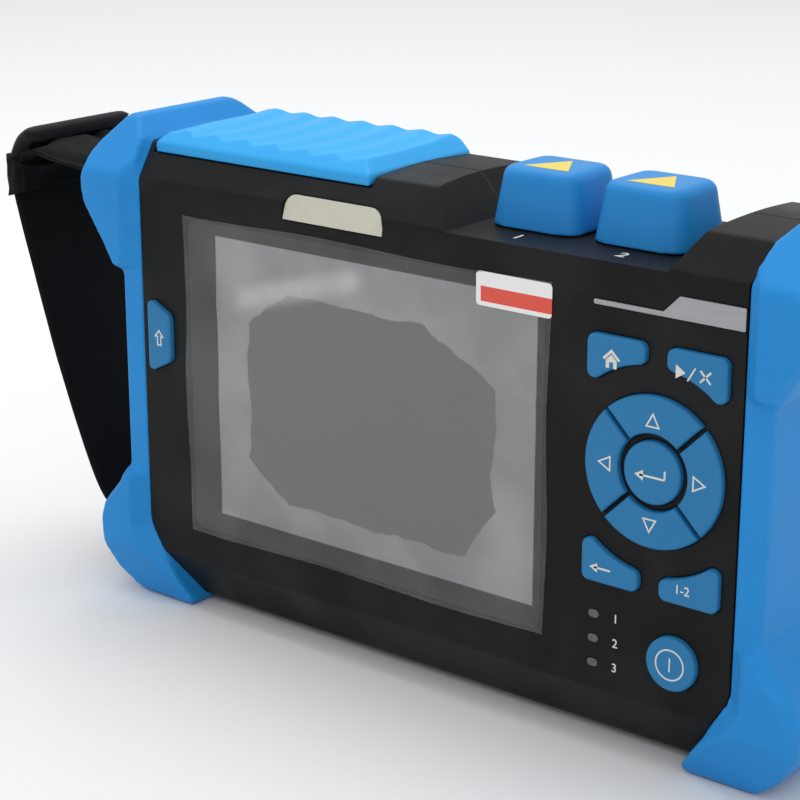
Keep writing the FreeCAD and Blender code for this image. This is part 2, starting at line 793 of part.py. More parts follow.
def make_adapter(x):
    """Ferrule adapter on a square flange, with a keyway across its mouth."""
    top = ledge_z + adapter_height
    low = ledge_z - adapter_tail
    flange = box(x - flange_half, x + flange_half, port_y - flange_half, port_y + flange_half,
                 ledge_z, ledge_z + flange_height)
    uprights = edges_where(flange, lambda b: b.ZLength > 1 and b.XLength < 0.01 and b.YLength < 0.01)
    flange = flange.makeFillet(flange_round, uprights)
    nose = rod(adapter_radius, (x, port_y, ledge_z), (x, port_y, top))
    tail = rod(tail_radius, (x, port_y, low), (x, port_y, ledge_z))
    body = fuse(flange, nose, tail)
    body = body.cut(rod(sleeve_outer + sleeve_play, (x, port_y, low - past), (x, port_y, top + past)))
    body = body.cut(box(x - keyway_width / 2, x + keyway_width / 2, port_y - adapter_radius - past, port_y,
                        top - keyway_depth, top + past))
    for hole_x, hole_y in flange_screw_places(x):
        body = body.cut(rod(flange_screw_radius + 0.05, (hole_x, hole_y, ledge_z - past),
                            (hole_x, hole_y, ledge_z + flange_height + past)))
    return body


def make_ferrule_sleeves():
    sleeves = []
    for x in (vfl_x, otdr_x):
        low = ledge_z - sleeve_foot
        high = ledge_z + adapter_height - sleeve_recess
        sleeve = rod(sleeve_outer, (x, port_y, low), (x, port_y, high))
        sleeves.append(sleeve.cut(rod(ferrule_radius, (x, port_y, low - past), (x, port_y, high + past))))
    return Part.makeCompound(sleeves)


def make_adapter_screws():
    screws = []
    seat = ledge_z + flange_height
    for port_x in (vfl_x, otdr_x):
        for x, y in flange_screw_places(port_x):
            head = rod(flange_screw_head, (x, y, seat), (x, y, seat + flange_screw_head_thick))
            shank = rod(flange_screw_radius, (x, y, ledge_z + 0.05), (x, y, seat))
            screws.append(fuse(head, shank))
    return Part.makeCompound(screws)


# --- dust caps -------------------------------------------------------------------------------
def cap_body(x, inset, low, top, edge_round):
    """Tapered block with rounded upright corners; an inset makes it smaller all round."""
    width = cap_width - 2 * inset
    depth = cap_depth - 2 * inset
    radius = cap_corner - inset
    base = plan_wire(width, depth, radius, x, port_y, low)
    crest = plan_wire(width - 2 * cap_taper, depth - 2 * cap_taper, radius - 0.5, x, port_y, top)
    body = Part.makeLoft([base, crest], True)
    return round_level(body, edge_round, "Z", top)


def make_cap(x):
    """Hollow tapered cap over one optical port, with a hinge knuckle on its back edge."""
    low = ledge_z + cap_lift
    top = ledge_z + cap_height
    cap = cap_body(x, 0, low, top, cap_edge)
    cap = cap.cut(cap_body(x, cap_wall, low - 0.5, top - cap_wall, cap_edge - cap_wall))
    left = x - cap_knuckle_half
    right = x + cap_knuckle_half
    tab = box(left, right, port_y + cap_depth / 2 - 0.8 * cap_wall, cap_axis_y,
              cap_axis_z - cap_tab_thick / 2, cap_axis_z + cap_tab_thick / 2)
    knuckle = rod(knuckle_radius, (left, cap_axis_y, cap_axis_z), (right, cap_axis_y, cap_axis_z))
    bore = rod(pin_radius + pin_clearance, (left - past, cap_axis_y, cap_axis_z),
               (right + past, cap_axis_y, cap_axis_z))
    return fuse(cap, tab, knuckle).cut(bore)


def cap_pin_half():
    return cap_knuckle_half + hinge_gap + lug_thick


def make_cap_pins():
    half = cap_pin_half()
    pins = [rod(pin_radius, (x - half, cap_axis_y, cap_axis_z), (x + half, cap_axis_y, cap_axis_z))
            for x in (vfl_x, otdr_x)]
    return Part.makeCompound(pins)


def hinge_lug(x0, x1, y, z, radius, foot_z):
    """Lug that carries a hinge pin along X, standing on the housing."""
    return fuse(rod(radius, (x0, y, z), (x1, y, z)), box(x0, x1, y - radius, y + radius, foot_z, z))


def cap_lugs():
    lugs = []
    for x in (vfl_x, otdr_x):
        for side in (-1, 1):
            ends = sorted([x + side * (cap_knuckle_half + hinge_gap), x + side * cap_pin_half()])
            lugs.append(hinge_lug(ends[0], ends[1], cap_axis_y, cap_axis_z, knuckle_radius,
                                  ledge_z - lug_root))
    return lugs


# --- port cover ------------------------------------------------------------------------------
cover_blank = cover_base + cover_valley + cover_rise + rib_height + past    # height before its top is cut


def cover_profile():
    """Side outline of the uncut cover: upright skirt, sloping shoulder and a rounded back edge."""
    skirt = cover_base + cover_skirt
    back_round = cover_back - cover_back_round
    return [(cover_front, cover_base), (cover_back, cover_base), (cover_back, cover_blank - 3.0),
            (back_round, cover_blank), (cover_front + cover_shoulder, cover_blank), (cover_front, skirt)]


def cover_ends():
    """The same from the front, its ends drawn in over the skirt like its front."""
    skirt = cover_base + cover_skirt
    corners = [(cover_left, cover_base), (cover_right, cover_base), (cover_right, skirt),
               (cover_right - cover_shoulder, cover_blank), (cover_left + cover_shoulder, cover_blank),
               (cover_left, skirt)]
    return front_prism(corners, [0, 0, 1.5, 0, 0, 1.5], -FAR, FAR)


def rib_wave(share):
    """Height of a rib, 0 to 1, across its width: a long rise and a short fall on its right side."""
    rise = 1 - rib_fall
    if share < rise:
        return 0.5 - 0.5 * math.cos(math.pi * share / rise)
    return 0.5 + 0.5 * math.cos(math.pi * (share - rise) / rib_fall)


def cover_top():
    """Ribbed top face as a smooth surface; the ribs bow sideways between the front and the back."""
    pitch = (cover_right - cover_left - 2.0) / cover_ribs
    depth = cover_back - cover_front
    steps = 5 * (cover_ribs + 2)
    rows = []
    for j in range(7):
        run = j / 6
        bow = rib_bow * (1 - (2 * run - 1) ** 2)
        row = []
        for i in range(steps + 1):
            across = i / 5 - 1
            height = cover_base + cover_valley + cover_rise * run + rib_height * rib_wave(across % 1)
            row.append(Vector(cover_left + 1.0 + pitch * across + bow, cover_front + depth * run, height))
        rows.append(row)
    surface = Part.BSplineSurface()
    surface.interpolate(rows)
    return surface.toShape()


def cover_hinge_ends(x):
    """Ends of the cover's knuckle beside the lug at x."""
    away = 1 if x < (cover_left + cover_right) / 2 else -1
    near = cover_lug_half + hinge_gap
    return sorted([x + away * near, x + away * (near + cover_knuckle_long)])


def make_port_cover():
    block = side_prism(cover_profile(), [0, 0, 2.0, 2.0, 0, 1.5], cover_left, cover_right)
    block = block.common(cover_ends())
    room = [(cover_front + cover_wall, cover_base - past), (cover_back - cover_wall, cover_base - past),
            (cover_back - cover_wall, cover_base + cover_valley + cover_rise - cover_wall),
            (cover_front + cover_shoulder + cover_wall, cover_base + cover_valley - cover_wall),
            (cover_front + cover_wall, cover_base + cover_skirt - 0.5)]
    block = block.cut(side_prism(room, 0, cover_left + 2 * cover_wall, cover_right - 2 * cover_wall))
    for x in cover_hinges:
        clear = cover_lug_half + hinge_gap
        reach = cover_knuckle + 2 * hinge_gap
        block = block.cut(box(x - clear, x + clear, cover_axis_y - reach, cover_back + past,
                              cover_base - past, cover_axis_z + reach))
        start, end = cover_hinge_ends(x)
        knuckle = rod(cover_knuckle, (start, cover_axis_y, cover_axis_z), (end, cover_axis_y, cover_axis_z))
        bore = rod(pin_radius + pin_clearance, (start - past, cover_axis_y, cover_axis_z),
                   (end + past, cover_axis_y, cover_axis_z))
        block = block.fuse(knuckle).cut(bore)
    return block.cut(cover_top().extrude(Vector(0, 0, FAR)))


def make_cover_pins():
    pins = []
    for x in cover_hinges:
        ends = cover_hinge_ends(x) + [x - cover_lug_half, x + cover_lug_half]
        near = x - cover_lug_half if max(ends) > x + cover_lug_half else x + cover_lug_half
        far = max(ends) if near < x else min(ends)
        pins.append(rod(pin_radius, (near, cover_axis_y, cover_axis_z), (far, cover_axis_y, cover_axis_z)))
    return Part.makeCompound(pins)


def cover_lugs():
    return [hinge_lug(x - cover_lug_half, x + cover_lug_half, cover_axis_y, cover_axis_z, cover_knuckle,
                      cover_seat - lug_root) for x in cover_hinges]


# --- rear shell ------------------------------------------------------------------------------
def battery_room():
    """Space for the battery in its tray, open to the front and behind the door."""
    half = battery_width / 2 + battery_play
    return box(-half, half, tray_front - past, door_front_y + past, battery_low - battery_play,
               battery_low + battery_height + battery_play)


def battery_tray():
    half = battery_width / 2 + battery_play + tray_wall
    return box(-half, half, tray_front, door_front_y, door_low - battery_play, door_high + 3.0)


def door_block(growth):
    corners = grown(rectangle(0, door_z, door_width, door_height), growth)
    return front_prism(corners, 0, door_front_y, recess_floor_y + past * (growth > 0))


def speaker_slots():
    slots = []
    for i in range(-3, 4):
        rise = speaker_pitch * i
        width = 2 * math.sqrt((speaker_radius - speaker_slot) ** 2 - rise ** 2)
        slots.append(level_slot(speaker_x, speaker_z + rise, width, speaker_slot, back_y - wall - past,
                                back_y + past))
    return slots


def stand_pin(side, inner, outer, radius):
    """Short rod on the stand's hinge line, between two distances from the middle."""
    ends = sorted([side * inner, side * outer])
    return rod(radius, (ends[0], stand_axis_y, stand_axis_z), (ends[1], stand_axis_y, stand_axis_z))


stand_pin_end = stand_width / 2 + stand_gap + wall - 0.5


def make_rear_shell():
    half = housing_solid().common(box(-FAR, FAR, seam_y + seam_gap / 2, FAR, -FAR, FAR))
    posts = rear_bosses().common(half)
    shell = fuse(half.cut(housing_cavity()), posts, battery_tray())
    shell = shell.cut(bay_room())
    shell = shell.cut(stand_recess(0))
    shell = shell.cut(door_block(fit_gap)).cut(battery_room())
    for x, z in screw_places:
        shell = shell.cut(screw(x, z, screw_radius + 0.2, screw_head_radius + 0.3, seam_y - past,
                                screw_head_y(), back_y + past))
    for slot in speaker_slots():
        shell = shell.cut(slot)
    for x in (vfl_x, otdr_x):
        shell = shell.cut(port_hole(x))
    for hole in socket_holes():
        shell = shell.cut(hole)
    for x, z in door_screws:
        shell = shell.cut(rod(door_screw_radius, (x, door_front_y - door_screw_long, z),
                              (x, door_front_y + past, z)))
    shell = fuse(shell, *(cap_lugs() + cover_lugs()))
    shell = shell.cut(make_cap_pins()).cut(make_cover_pins())
    for side in (-1, 1):
        shell = shell.cut(stand_pin(side, stand_width / 2, stand_pin_end, stand_pin_radius))
    return shell


def make_kickstand():
    """Flat stand, ribbed inside its rim, with a rolled hinge edge and a finger notch at the foot."""
    half = stand_width / 2
    front = stand_axis_y - stand_thick / 2
    back = stand_axis_y + stand_thick / 2
    corners = [(-half, stand_bottom), (half, stand_bottom), (half, stand_axis_z), (-half, stand_axis_z)]
    plate = front_prism(corners, [stand_round, stand_round, 0, 0], front, back)
    low = stand_bottom + stand_foot
    high = stand_axis_z - stand_rim
    inner = half - stand_rim
    pocket = front_prism([(-inner, low), (inner, low), (inner, high), (-inner, high)], 4.0,
                         back - stand_pocket, back + past)
    notch = rod(notch_radius, (0, front - past, stand_bottom - 3), (0, back + past, stand_bottom - 3))
    roll = rod(stand_thick / 2, (-half, stand_axis_y, stand_axis_z), (half, stand_axis_y, stand_axis_z))
    ribs = [box(x - stand_rib / 2, x + stand_rib / 2, stand_axis_y, back, low - past, high + past)
            for x in stand_ribs]
    stand = fuse(fuse(plate, roll).cut(pocket).cut(notch), *ribs)
    for side in (-1, 1):
        stand = stand.cut(stand_pin(side, half - stand_pin_reach - 0.2, half + past,
                                    stand_pin_radius + pin_clearance))
    return stand


def make_stand_pins():
    return Part.makeCompound([stand_pin(side, stand_width / 2 - stand_pin_reach, stand_pin_end,
                                        stand_pin_radius) for side in (-1, 1)])


def make_battery_door():
    door = door_block(0)
    for x, z in door_screws:
        door = door.cut(screw(x, z, door_screw_radius + 0.3, door_screw_head + 0.3, door_front_y - past,
                              recess_floor_y - door_screw_sink, recess_floor_y + past))
    first = -grip_pitch * (door_grips - 1) / 2
    for i in range(door_grips):
        grip = upright_slot(first + grip_pitch * i, door_low + 11.0, grip_width, grip_height,
                            recess_floor_y - grip_depth, recess_floor_y + past)
        door = door.cut(grip)
    return door


def make_door_screws():
    return Part.makeCompound([screw(x, z, door_screw_radius, door_screw_head,
                                    door_front_y - door_screw_long, recess_floor_y - door_screw_sink,
                                    recess_floor_y - 0.1) for x, z in door_screws])


def make_housing_screws():
    screws = []
    seat = screw_head_y()
    end = seat + screw_head_thick
    for x, z in screw_places:
        whole = screw(x, z, screw_radius, screw_head_radius, seam_y - screw_long, seat, end)
        screws.append(whole.cut(rod(screw_drive, (x, seat + 0.8, z), (x, end + past, z))))
    return Part.makeCompound(screws)


def make_housing_seal():
    slab = box(-FAR, FAR, seam_y - seam_gap / 2, seam_y + seam_gap / 2, -FAR, FAR)
    ring = housing_solid().common(slab).cut(housing_cavity()).cut(bay_room())
    sunk = 0.7
    inside = side_prism(grown(housing_profile(), -sunk), 1.0, -FAR, FAR)
    ring = ring.common(inside).common(front_prism(core_outline(sunk), 0, -FAR, FAR))
    for x, z in screw_places:
        ring = ring.cut(rod(boss_radius + 0.2, (x, seam_y - past, z), (x, seam_y + past, z)))
    for x in (vfl_x, otdr_x):
        ring = ring.cut(port_hole(x))
    for hole in socket_holes():
        ring = ring.cut(hole)
    return ring


# --- guards ----------------------------------------------------------------------------------
def guard_profile():
    """Side outline of the raised corner pads, in Y and Z."""
    front = face_y - guard_front
    back = back_y + guard_back
    return [(front, low_bend_z - 0.5), (front + 6.5, 0.0), (back - 5.0, 0.0), (back, 5.0),
            (back, guard_top - 9.0), (back - 9.0, guard_top), (face_y + bend_depth + 0.5, guard_top),
            (front, high_bend_z + 0.5)]


profile_rounds = [5, 3, 3, 3, 6, 8, 4, 5]


def upper_pad_outline(gap):
    """Upper pad in X and Z, its inner side a gap away from the black face."""
    inner = visible_half_width + gap
    wide = upper_pad_width
    return [(inner, guard_top - 45.2), (band_half_width + 1.5, guard_top - 45.2),
            (wide - 9.0, guard_top - 37.7), (wide - 1.0, guard_top - 26.2), (wide, guard_top - 18.2),
            (wide - 4.0, guard_top - 8.2), (wide - 10.5, guard_top), (wide - 14.0, guard_top),
            (inner + shoulder_flare, guard_top - 6.2), (inner, high_bend_z)]


def lower_pad_outline(gap):
    inner = visible_half_width + gap
    wide = lower_pad_width
    return [(inner - corner_run, 0.0), (wide - 13.5, 0.0), (wide - 5.5, 6.5), (wide - 0.5, 14.5),
            (wide, 24.0), (wide - 2.0, 30.0), (wide - 9.0, 38.0), (band_half_width + 1.0, 42.0),
            (inner, 42.0), (inner, corner_rise - 1.0)]


upper_pad_radii = [2.5, 1.5, 6, 6, 6, 6, 2, 1.5, 1.5, 3]
lower_pad_radii = [2, 4, 5, 5, 5, 4, 5, 1.5, 2.5, 4]


def pad(outline_at, radii):
    """Raised corner pad, drawn in at its front and back; its inner side has the widest bevel."""
    outline = outline_at(pad_gap)
    front_outline = grown(outline_at(pad_gap + bevel_run), -pad_draft)
    back_outline = grown(outline, -guard_back / 2)
    slim_radii = [max(0.2, radius - pad_draft / 2) for radius in radii]
    middle = front_prism(outline, radii, face_y, back_y)
    front = Part.makeLoft([front_wire(outline, radii, face_y),
                           front_wire(front_outline, slim_radii, face_y - guard_front)], True, True)
    back = Part.makeLoft([front_wire(outline, radii, back_y),
                          front_wire(back_outline, slim_radii, back_y + guard_back)], True, True)
    body = middle.fuse(front).fuse(back)
    return body.common(side_prism(guard_profile(), profile_rounds, 0, FAR))


def guard_band():
    """Narrow part of the guard, flush with the black face and wrapped round the side wall."""
    low = housing_bottom - past
    top = crown_z + 0.7
    wide = band_half_width
    outline = [(visible_half_width - corner_run - 3, low), (wide - 5, low), (wide, 8.0), (wide, top - 5.5),
               (wide - 3.5, top), (visible_half_width - 3, top)]
    band = side_prism(housing_profile(), profile_radii, 60, FAR)
    return band.common(front_prism(outline, 0, -FAR, FAR))


def make_right_guard():
    upper = pad(upper_pad_outline, upper_pad_radii)
    lower = pad(lower_pad_outline, lower_pad_radii)
    guard = guard_band().fuse(upper).fuse(lower).removeSplitter()
    return guard.cut(housing_solid())


strap_pins = [(lower_pin_x, lower_pin_z), (upper_pin_x, upper_pin_z)]
slot_front = middle_y - strap_width / 2 - strap_play
slot_back = middle_y + strap_width / 2 + strap_play


def make_strap_pins():
    return Part.makeCompound([rod(strap_pin_radius, (x, slot_front - strap_pin_grip, z),
                                  (x, slot_back + strap_pin_grip, z)) for x, z in strap_pins])


def make_left_guard():
    guard = mirror_x(make_right_guard())
    for x, z in strap_pins:
        low = z - strap_slot_height / 2
        guard = guard.cut(box(x - 20, x + strap_slot_deep, slot_front, slot_back, low,
                              low + strap_slot_height))
    return guard.cut(make_strap_pins())


# --- strap -----------------------------------------------------------------------------------
def strap_line():
    """Middle line of the padded strap from its lower pin to its free upper edge, in X and Z."""
    x, z = lower_pin_x, lower_pin_z
    top = upper_pin_z
    return [(x - 3.0, z + 1.2), (x - 13.0, z + 4.0), (x - 21.0, z + 18.0), (x - 31.5, z + 44.0),
            (x - 41.0, top - 31.5), (x - 48.5, top - 7.0), (x - 50.0, top + 3.0), (x - 46.5, top + 11.0),
            (x - 41.0, top + 15.0)]


def webbing_line():
    """Middle line of the webbing from the upper pin to the strap that it is sewn to."""
    x, z = upper_pin_x, upper_pin_z
    return [(x - 3.0, z + 1.2), (x - 15.0, z + 3.5), (x - 29.0, z + 4.0), (x - 41.0, z + 0.5),
            (x - 46.0, z - 6.0)]


def ribbon(points, width):
    """Band of the strap's thickness along a smooth line, centred on the housing's depth."""
    middle = Part.BSplineCurve()
    middle.interpolate([Vector(x, 0, z) for x, z in points])
    sides = {1: [], -1: []}
    count = 3 * len(points)
    for i in range(count):
        at = middle.FirstParameter + (middle.LastParameter - middle.FirstParameter) * i / (count - 1)
        along = middle.tangent(at)[0]
        across = Vector(-along.z, 0, along.x).normalize().multiply(strap_thick / 2)
        for side, line in sides.items():
            line.append(middle.value(at).add(Vector(across).multiply(side)))
    edges = []
    for side, line in sides.items():
        curve = Part.BSplineCurve()
        curve.interpolate(line)
        edges.append(curve.toShape())
    edges += [Part.LineSegment(sides[1][i], sides[-1][i]).toShape() for i in (0, -1)]
    face = Part.Face(Part.Wire(Part.__sortEdges__(edges)))
    face.translate(Vector(0, middle_y - width / 2, 0))
    return face.extrude(Vector(0, width, 0))


def make_hand_strap():
    """Soft strap looped round a pin at each end."""
    strap = ribbon(strap_line(), strap_width).fuse(ribbon(webbing_line(), strap_width))
    front = middle_y - strap_width / 2
    back = middle_y + strap_width / 2
    for x, z in strap_pins:
        strap = strap.fuse(rod(strap_pin_radius + strap_thick, (x, front, z), (x, back, z)))
    for x, z in strap_pins:
        strap = strap.cut(rod(strap_pin_radius + 0.2, (x, front - past, z), (x, back + past, z)))
    return strap


# --- display and electronics -----------------------------------------------------------------
def make_display_window():
    return front_prism(window_outline(0), window_round - fit_gap, face_y, face_y + window_thick)


def make_window_film():
    """Protective film with slightly wavy sides."""
    corners = rectangle(film_x, film_z, film_width, film_height)
    y = face_y - film_thick
    edges = []
    for i in range(4):
        start = Vector(corners[i][0], y, corners[i][1])
        end = Vector(corners[(i + 1) % 4][0], y, corners[(i + 1) % 4][1])
        middle = start.add(end).multiply(0.5)
        inwards = Vector(film_x, y, film_z).sub(middle).normalize()
        edges.append(Part.Arc(start, middle.add(inwards.multiply(film_wave)), end).toShape())
    return Part.Face(Part.Wire(edges)).extrude(Vector(0, film_thick, 0))


def make_film_tab():
    right = film_x + film_width / 2 - 0.3
    top = film_z + film_height / 2 - tab_drop
    y = face_y - film_thick
    corners = rectangle(right - tab_width / 2, top - tab_height / 2, tab_width, tab_height)
    return front_prism(corners, 1.2, y - tab_thick, y)


def make_lcd_panel():
    body = front_prism(rectangle(display_x, display_z, lcd_width, lcd_height), 0, lcd_front_y, lcd_back_y)
    return body.cut(display_opening(glass_rim, lcd_front_y - past, lcd_front_y + glass_sunk))


def make_display_bracket():
    """Pressed steel frame that holds the display against the front shell."""
    half_width = lcd_width / 2 + 2.0
    frame = box(display_x - half_width, display_x + half_width, lcd_back_y, lcd_back_y + bracket_thick,
                display_z - lcd_height / 2 - 1.5, bay_floor - wall - 0.5)
    return frame.cut(front_prism(rectangle(display_x, display_z, 100.0, 72.0), 0, lcd_back_y - past,
                                 lcd_back_y + bracket_thick + past))


def make_keypad_mat():
    mat = box(ring_x - 22.65, ring_x + 21.35, mat_y, mat_y + mat_thick, 23.0, ring_z + 35.0)
    start = mat_y - past
    end = mat_y + mat_thick + past
    for form, (x, z) in keys.values():
        mat = mat.cut(rod(plunger_radius + 0.5, (x, start, z), (x, end, z)))
    for z in lamp_heights():
        mat = mat.cut(level_slot(lamp_x, z, lamp_width + 0.6, lamp_height + 0.6, start, end))
    return mat


def make_keypad_board():
    return box(ring_x - 22.65, ring_x + 21.35, board_y, board_y + board_thick, 22.5, ring_z + 36.0)


def make_shift_board():
    return box(shift_x - 6.2, shift_x + 10.8, board_y, board_y + board_thick, 70.0, 101.0)


def make_key_domes():
    domes = []
    for form, (x, z) in keys.values():
        top = Vector(x, board_y - dome_height, z)
        domes.append(Part.makeCone(dome_top_radius, dome_radius, dome_height, top, Vector(0, 1, 0)))
    return Part.makeCompound(domes)


def make_indicator_lenses():
    return Part.makeCompound([level_slot(lamp_x, z, lamp_width, lamp_height, face_y - 0.1,
                                         inner_face_y + 1.5) for z in lamp_heights()])


def make_indicator_leds():
    return Part.makeCompound([box(lamp_x - 1.5, lamp_x + 1.5, board_y - 0.9, board_y, z - 0.8, z + 0.8)
                              for z in lamp_heights()])


def chip(x, z, width, height, thick):
    return front_prism(rectangle(x, z, width, height), 0, main_board_front - thick, main_board_front)


def make_main_board():
    """Main circuit board with its larger chips soldered on the front."""
    board = box(-main_board_half, main_board_half, main_board_front, main_board_back, main_board_low,
                main_board_top)
    board = fuse(board, chip(-50, 60, 24, 24, 2.2), chip(-15, 62, 17, 17, 1.6), chip(-50, 95, 14, 9, 1.2),
                 chip(20, 90, 12, 18, 1.4), chip(35, 40, 20, 20, 2.0))
    for x, z in board_screws:
        board = board.cut(rod(screw_radius + 0.1, (x, main_board_front - past, z),
                              (x, main_board_back + past, z)))
    return board


def make_board_screws():
    """Screws of the main board, with the ends of their spacers in front of it."""
    return Part.makeCompound([screw(x, z, screw_radius, screw_head_radius,
                                    main_board_front - board_screw_stand, main_board_back,
                                    main_board_back + board_screw_head) for x, z in board_screws])


def make_display_cable():
    """Flat flexible cable from the display's back down to the main board."""
    high = 52.0
    low = 44.0
    thick = 0.3
    turn = lcd_back_y + 3.0
    line = [(lcd_back_y, high), (turn, high), (turn, low), (main_board_front, low),
            (main_board_front, low + thick), (turn + thick, low + thick), (turn + thick, high + thick),
            (lcd_back_y, high + thick)]
    return side_prism(line, 0, -8.0, 8.0)


def make_speaker():
    back = back_y - wall
    can = rod(speaker_radius, (speaker_x, back - 1.2, speaker_z), (speaker_x, back, speaker_z))
    motor = rod(speaker_radius * 0.6, (speaker_x, back - 4.6, speaker_z), (speaker_x, back - 1.2, speaker_z))
    return fuse(can, motor)


def make_battery_pack():
    back = door_front_y - 0.4
    pack = box(-battery_width / 2, battery_width / 2, back - battery_thick, back, battery_low,
               battery_low + battery_height)
    uprights = edges_where(pack, lambda b: b.XLength < 0.01 and b.YLength < 0.01)
    return pack.makeFillet(battery_round, uprights)


def make_otdr_module():
    """Screened optical module with a lid lip and a tail towards its port."""
    lip = module_lip
    body = box(module_left, module_right, main_board_back, module_back, module_low, module_top)
    lid = box(module_left - lip, module_right + lip, module_back - 2.5, module_back + lip,
              module_low - lip, module_top + lip)
    boot = rod(boot_radius, (otdr_x, port_y, module_top), (otdr_x, port_y, ledge_z - adapter_tail))
    return fuse(body, lid, boot)


def make_vfl_laser():
    can = rod(laser_radius, (vfl_x, port_y, laser_low), (vfl_x, port_y, laser_neck_low))
    neck = rod(laser_neck_radius, (vfl_x, port_y, laser_neck_low), (vfl_x, port_y, ledge_z - adapter_tail))
    return fuse(can, neck)


def spool_ring(radius, bore, start, length):
    y0 = main_board_back + start
    ring = rod(radius, (spool_x, y0, spool_z), (spool_x, y0 + length, spool_z))
    return ring.cut(rod(bore, (spool_x, y0 - past, spool_z), (spool_x, y0 + length + past, spool_z)))


def make_fibre_spool():
    rims = [spool_ring(spool_radius, spool_bore, start, spool_rim)
            for start in (0, spool_thick - spool_rim)]
    return fuse(spool_ring(spool_hub, spool_bore, 0, spool_thick), *rims)


def make_launch_fibre():
    start = spool_rim + coil_gap
    return spool_ring(coil_radius, spool_hub + coil_gap, start, spool_thick - 2 * start)


nodes["front_shell"] = make_front_shell
nodes["rear_shell"] = make_rear_shell
nodes["housing_seal"] = make_housing_seal
nodes["right_guard"] = make_right_guard
nodes["left_guard"] = make_left_guard
nodes["name_plate"] = lambda: name_plate_form(0, 0)
nodes["trim_strip"] = lambda: trim_form(0, face_y - trim_proud, face_y + trim_sunk)
nodes["display_window"] = make_display_window
nodes["window_film"] = make_window_film
nodes["film_tab"] = make_film_tab
nodes["lcd_panel"] = make_lcd_panel
nodes["display_bracket"] = make_display_bracket
nodes["display_cable"] = make_display_cable
nodes["keypad_mat"] = make_keypad_mat
nodes["keypad_board"] = make_keypad_board
nodes["shift_board"] = make_shift_board
nodes["key_domes"] = make_key_domes
nodes["indicator_lenses"] = make_indicator_lenses
nodes["indicator_leds"] = make_indicator_leds
nodes["main_board"] = make_main_board
nodes["board_screws"] = make_board_screws
nodes["speaker"] = make_speaker
nodes["battery_pack"] = make_battery_pack
nodes["battery_door"] = make_battery_door
nodes["battery_door_screws"] = make_door_screws
nodes["otdr_module"] = make_otdr_module
nodes["vfl_laser"] = make_vfl_laser
nodes["fibre_spool"] = make_fibre_spool
nodes["launch_fibre"] = make_launch_fibre
nodes["otdr_adapter"] = lambda: make_adapter(otdr_x)
nodes["vfl_adapter"] = lambda: make_adapter(vfl_x)
nodes["ferrule_sleeves"] = make_ferrule_sleeves
nodes["adapter_screws"] = make_adapter_screws
nodes["vfl_cap"] = lambda: make_cap(vfl_x)
nodes["otdr_cap"] = lambda: make_cap(otdr_x)
nodes["cap_pins"] = make_cap_pins
nodes["port_cover"] = make_port_cover
nodes["port_cover_pins"] = make_cover_pins
nodes["ethernet_socket"] = make_ethernet_socket
nodes["usb_host_socket"] = make_usb_host_socket
nodes["usb_device_socket"] = make_usb_device_socket
nodes["power_socket"] = make_power_socket
nodes["kickstand"] = make_kickstand
nodes["kickstand_pins"] = make_stand_pins
nodes["housing_screws"] = make_housing_screws
nodes["strap_pins"] = make_strap_pins
nodes["hand_strap"] = make_hand_strap
for key_name in keys:
    nodes[key_name] = lambda name=key_name: make_key(name)

housing_x = -(make_hand_strap().optimalBoundingBox().XMin + upper_pad_width) / 2

os.makedirs("parts", exist_ok=True)
for name, make in nodes.items():
    shape = make()
    shape.translate(Vector(housing_x, 0, 0))
    shape.exportStep("parts/" + name + ".step")
    print(name, len(shape.Solids), shape.isValid(), round(shape.Volume, 1))
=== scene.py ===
import json
import math

import bmesh
import bpy
from mathutils import Matrix, Vector, noise


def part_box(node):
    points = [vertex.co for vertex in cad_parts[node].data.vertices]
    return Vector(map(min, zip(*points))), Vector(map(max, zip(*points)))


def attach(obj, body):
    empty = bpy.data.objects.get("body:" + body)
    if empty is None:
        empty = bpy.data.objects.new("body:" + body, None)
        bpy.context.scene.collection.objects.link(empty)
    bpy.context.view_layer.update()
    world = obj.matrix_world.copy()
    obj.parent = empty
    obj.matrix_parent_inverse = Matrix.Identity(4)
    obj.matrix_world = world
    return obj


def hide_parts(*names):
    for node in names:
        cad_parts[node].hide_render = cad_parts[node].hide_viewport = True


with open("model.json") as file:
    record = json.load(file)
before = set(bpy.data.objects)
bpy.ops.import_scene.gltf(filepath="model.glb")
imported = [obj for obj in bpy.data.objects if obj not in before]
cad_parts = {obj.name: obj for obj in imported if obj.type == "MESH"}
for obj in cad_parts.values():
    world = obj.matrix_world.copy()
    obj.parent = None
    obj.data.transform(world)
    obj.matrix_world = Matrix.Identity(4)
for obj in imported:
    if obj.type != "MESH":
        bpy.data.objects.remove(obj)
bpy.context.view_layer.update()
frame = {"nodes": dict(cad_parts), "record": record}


# --- camera --------------------------------------------------------------------------------------
# The instrument is seen from its front right and a little above, standing on its lower guards.
# The aim is a point in the housing, a little right of its middle.
camera_azimuth = math.radians(38.74)
camera_elevation = math.radians(17.44)
camera_distance = 0.6
camera_aim = Vector((0.0078, -0.0166, 0.0792))

camera_data = bpy.data.cameras.new("camera")
camera_data.sensor_width = 36.0
camera_data.lens = 96.7
camera_data.clip_start = 0.01
camera_data.clip_end = 50.0
camera = bpy.data.objects.new("camera", camera_data)
bpy.context.scene.collection.objects.link(camera)
backwards = Vector((math.sin(camera_azimuth) * math.cos(camera_elevation),
                    -math.cos(camera_azimuth) * math.cos(camera_elevation),
                    math.sin(camera_elevation)))
camera.location = camera_aim + backwards * camera_distance
camera.rotation_mode = "QUATERNION"
camera.rotation_quaternion = (-backwards).to_track_quat("-Z", "Y")
bpy.context.scene.camera = camera


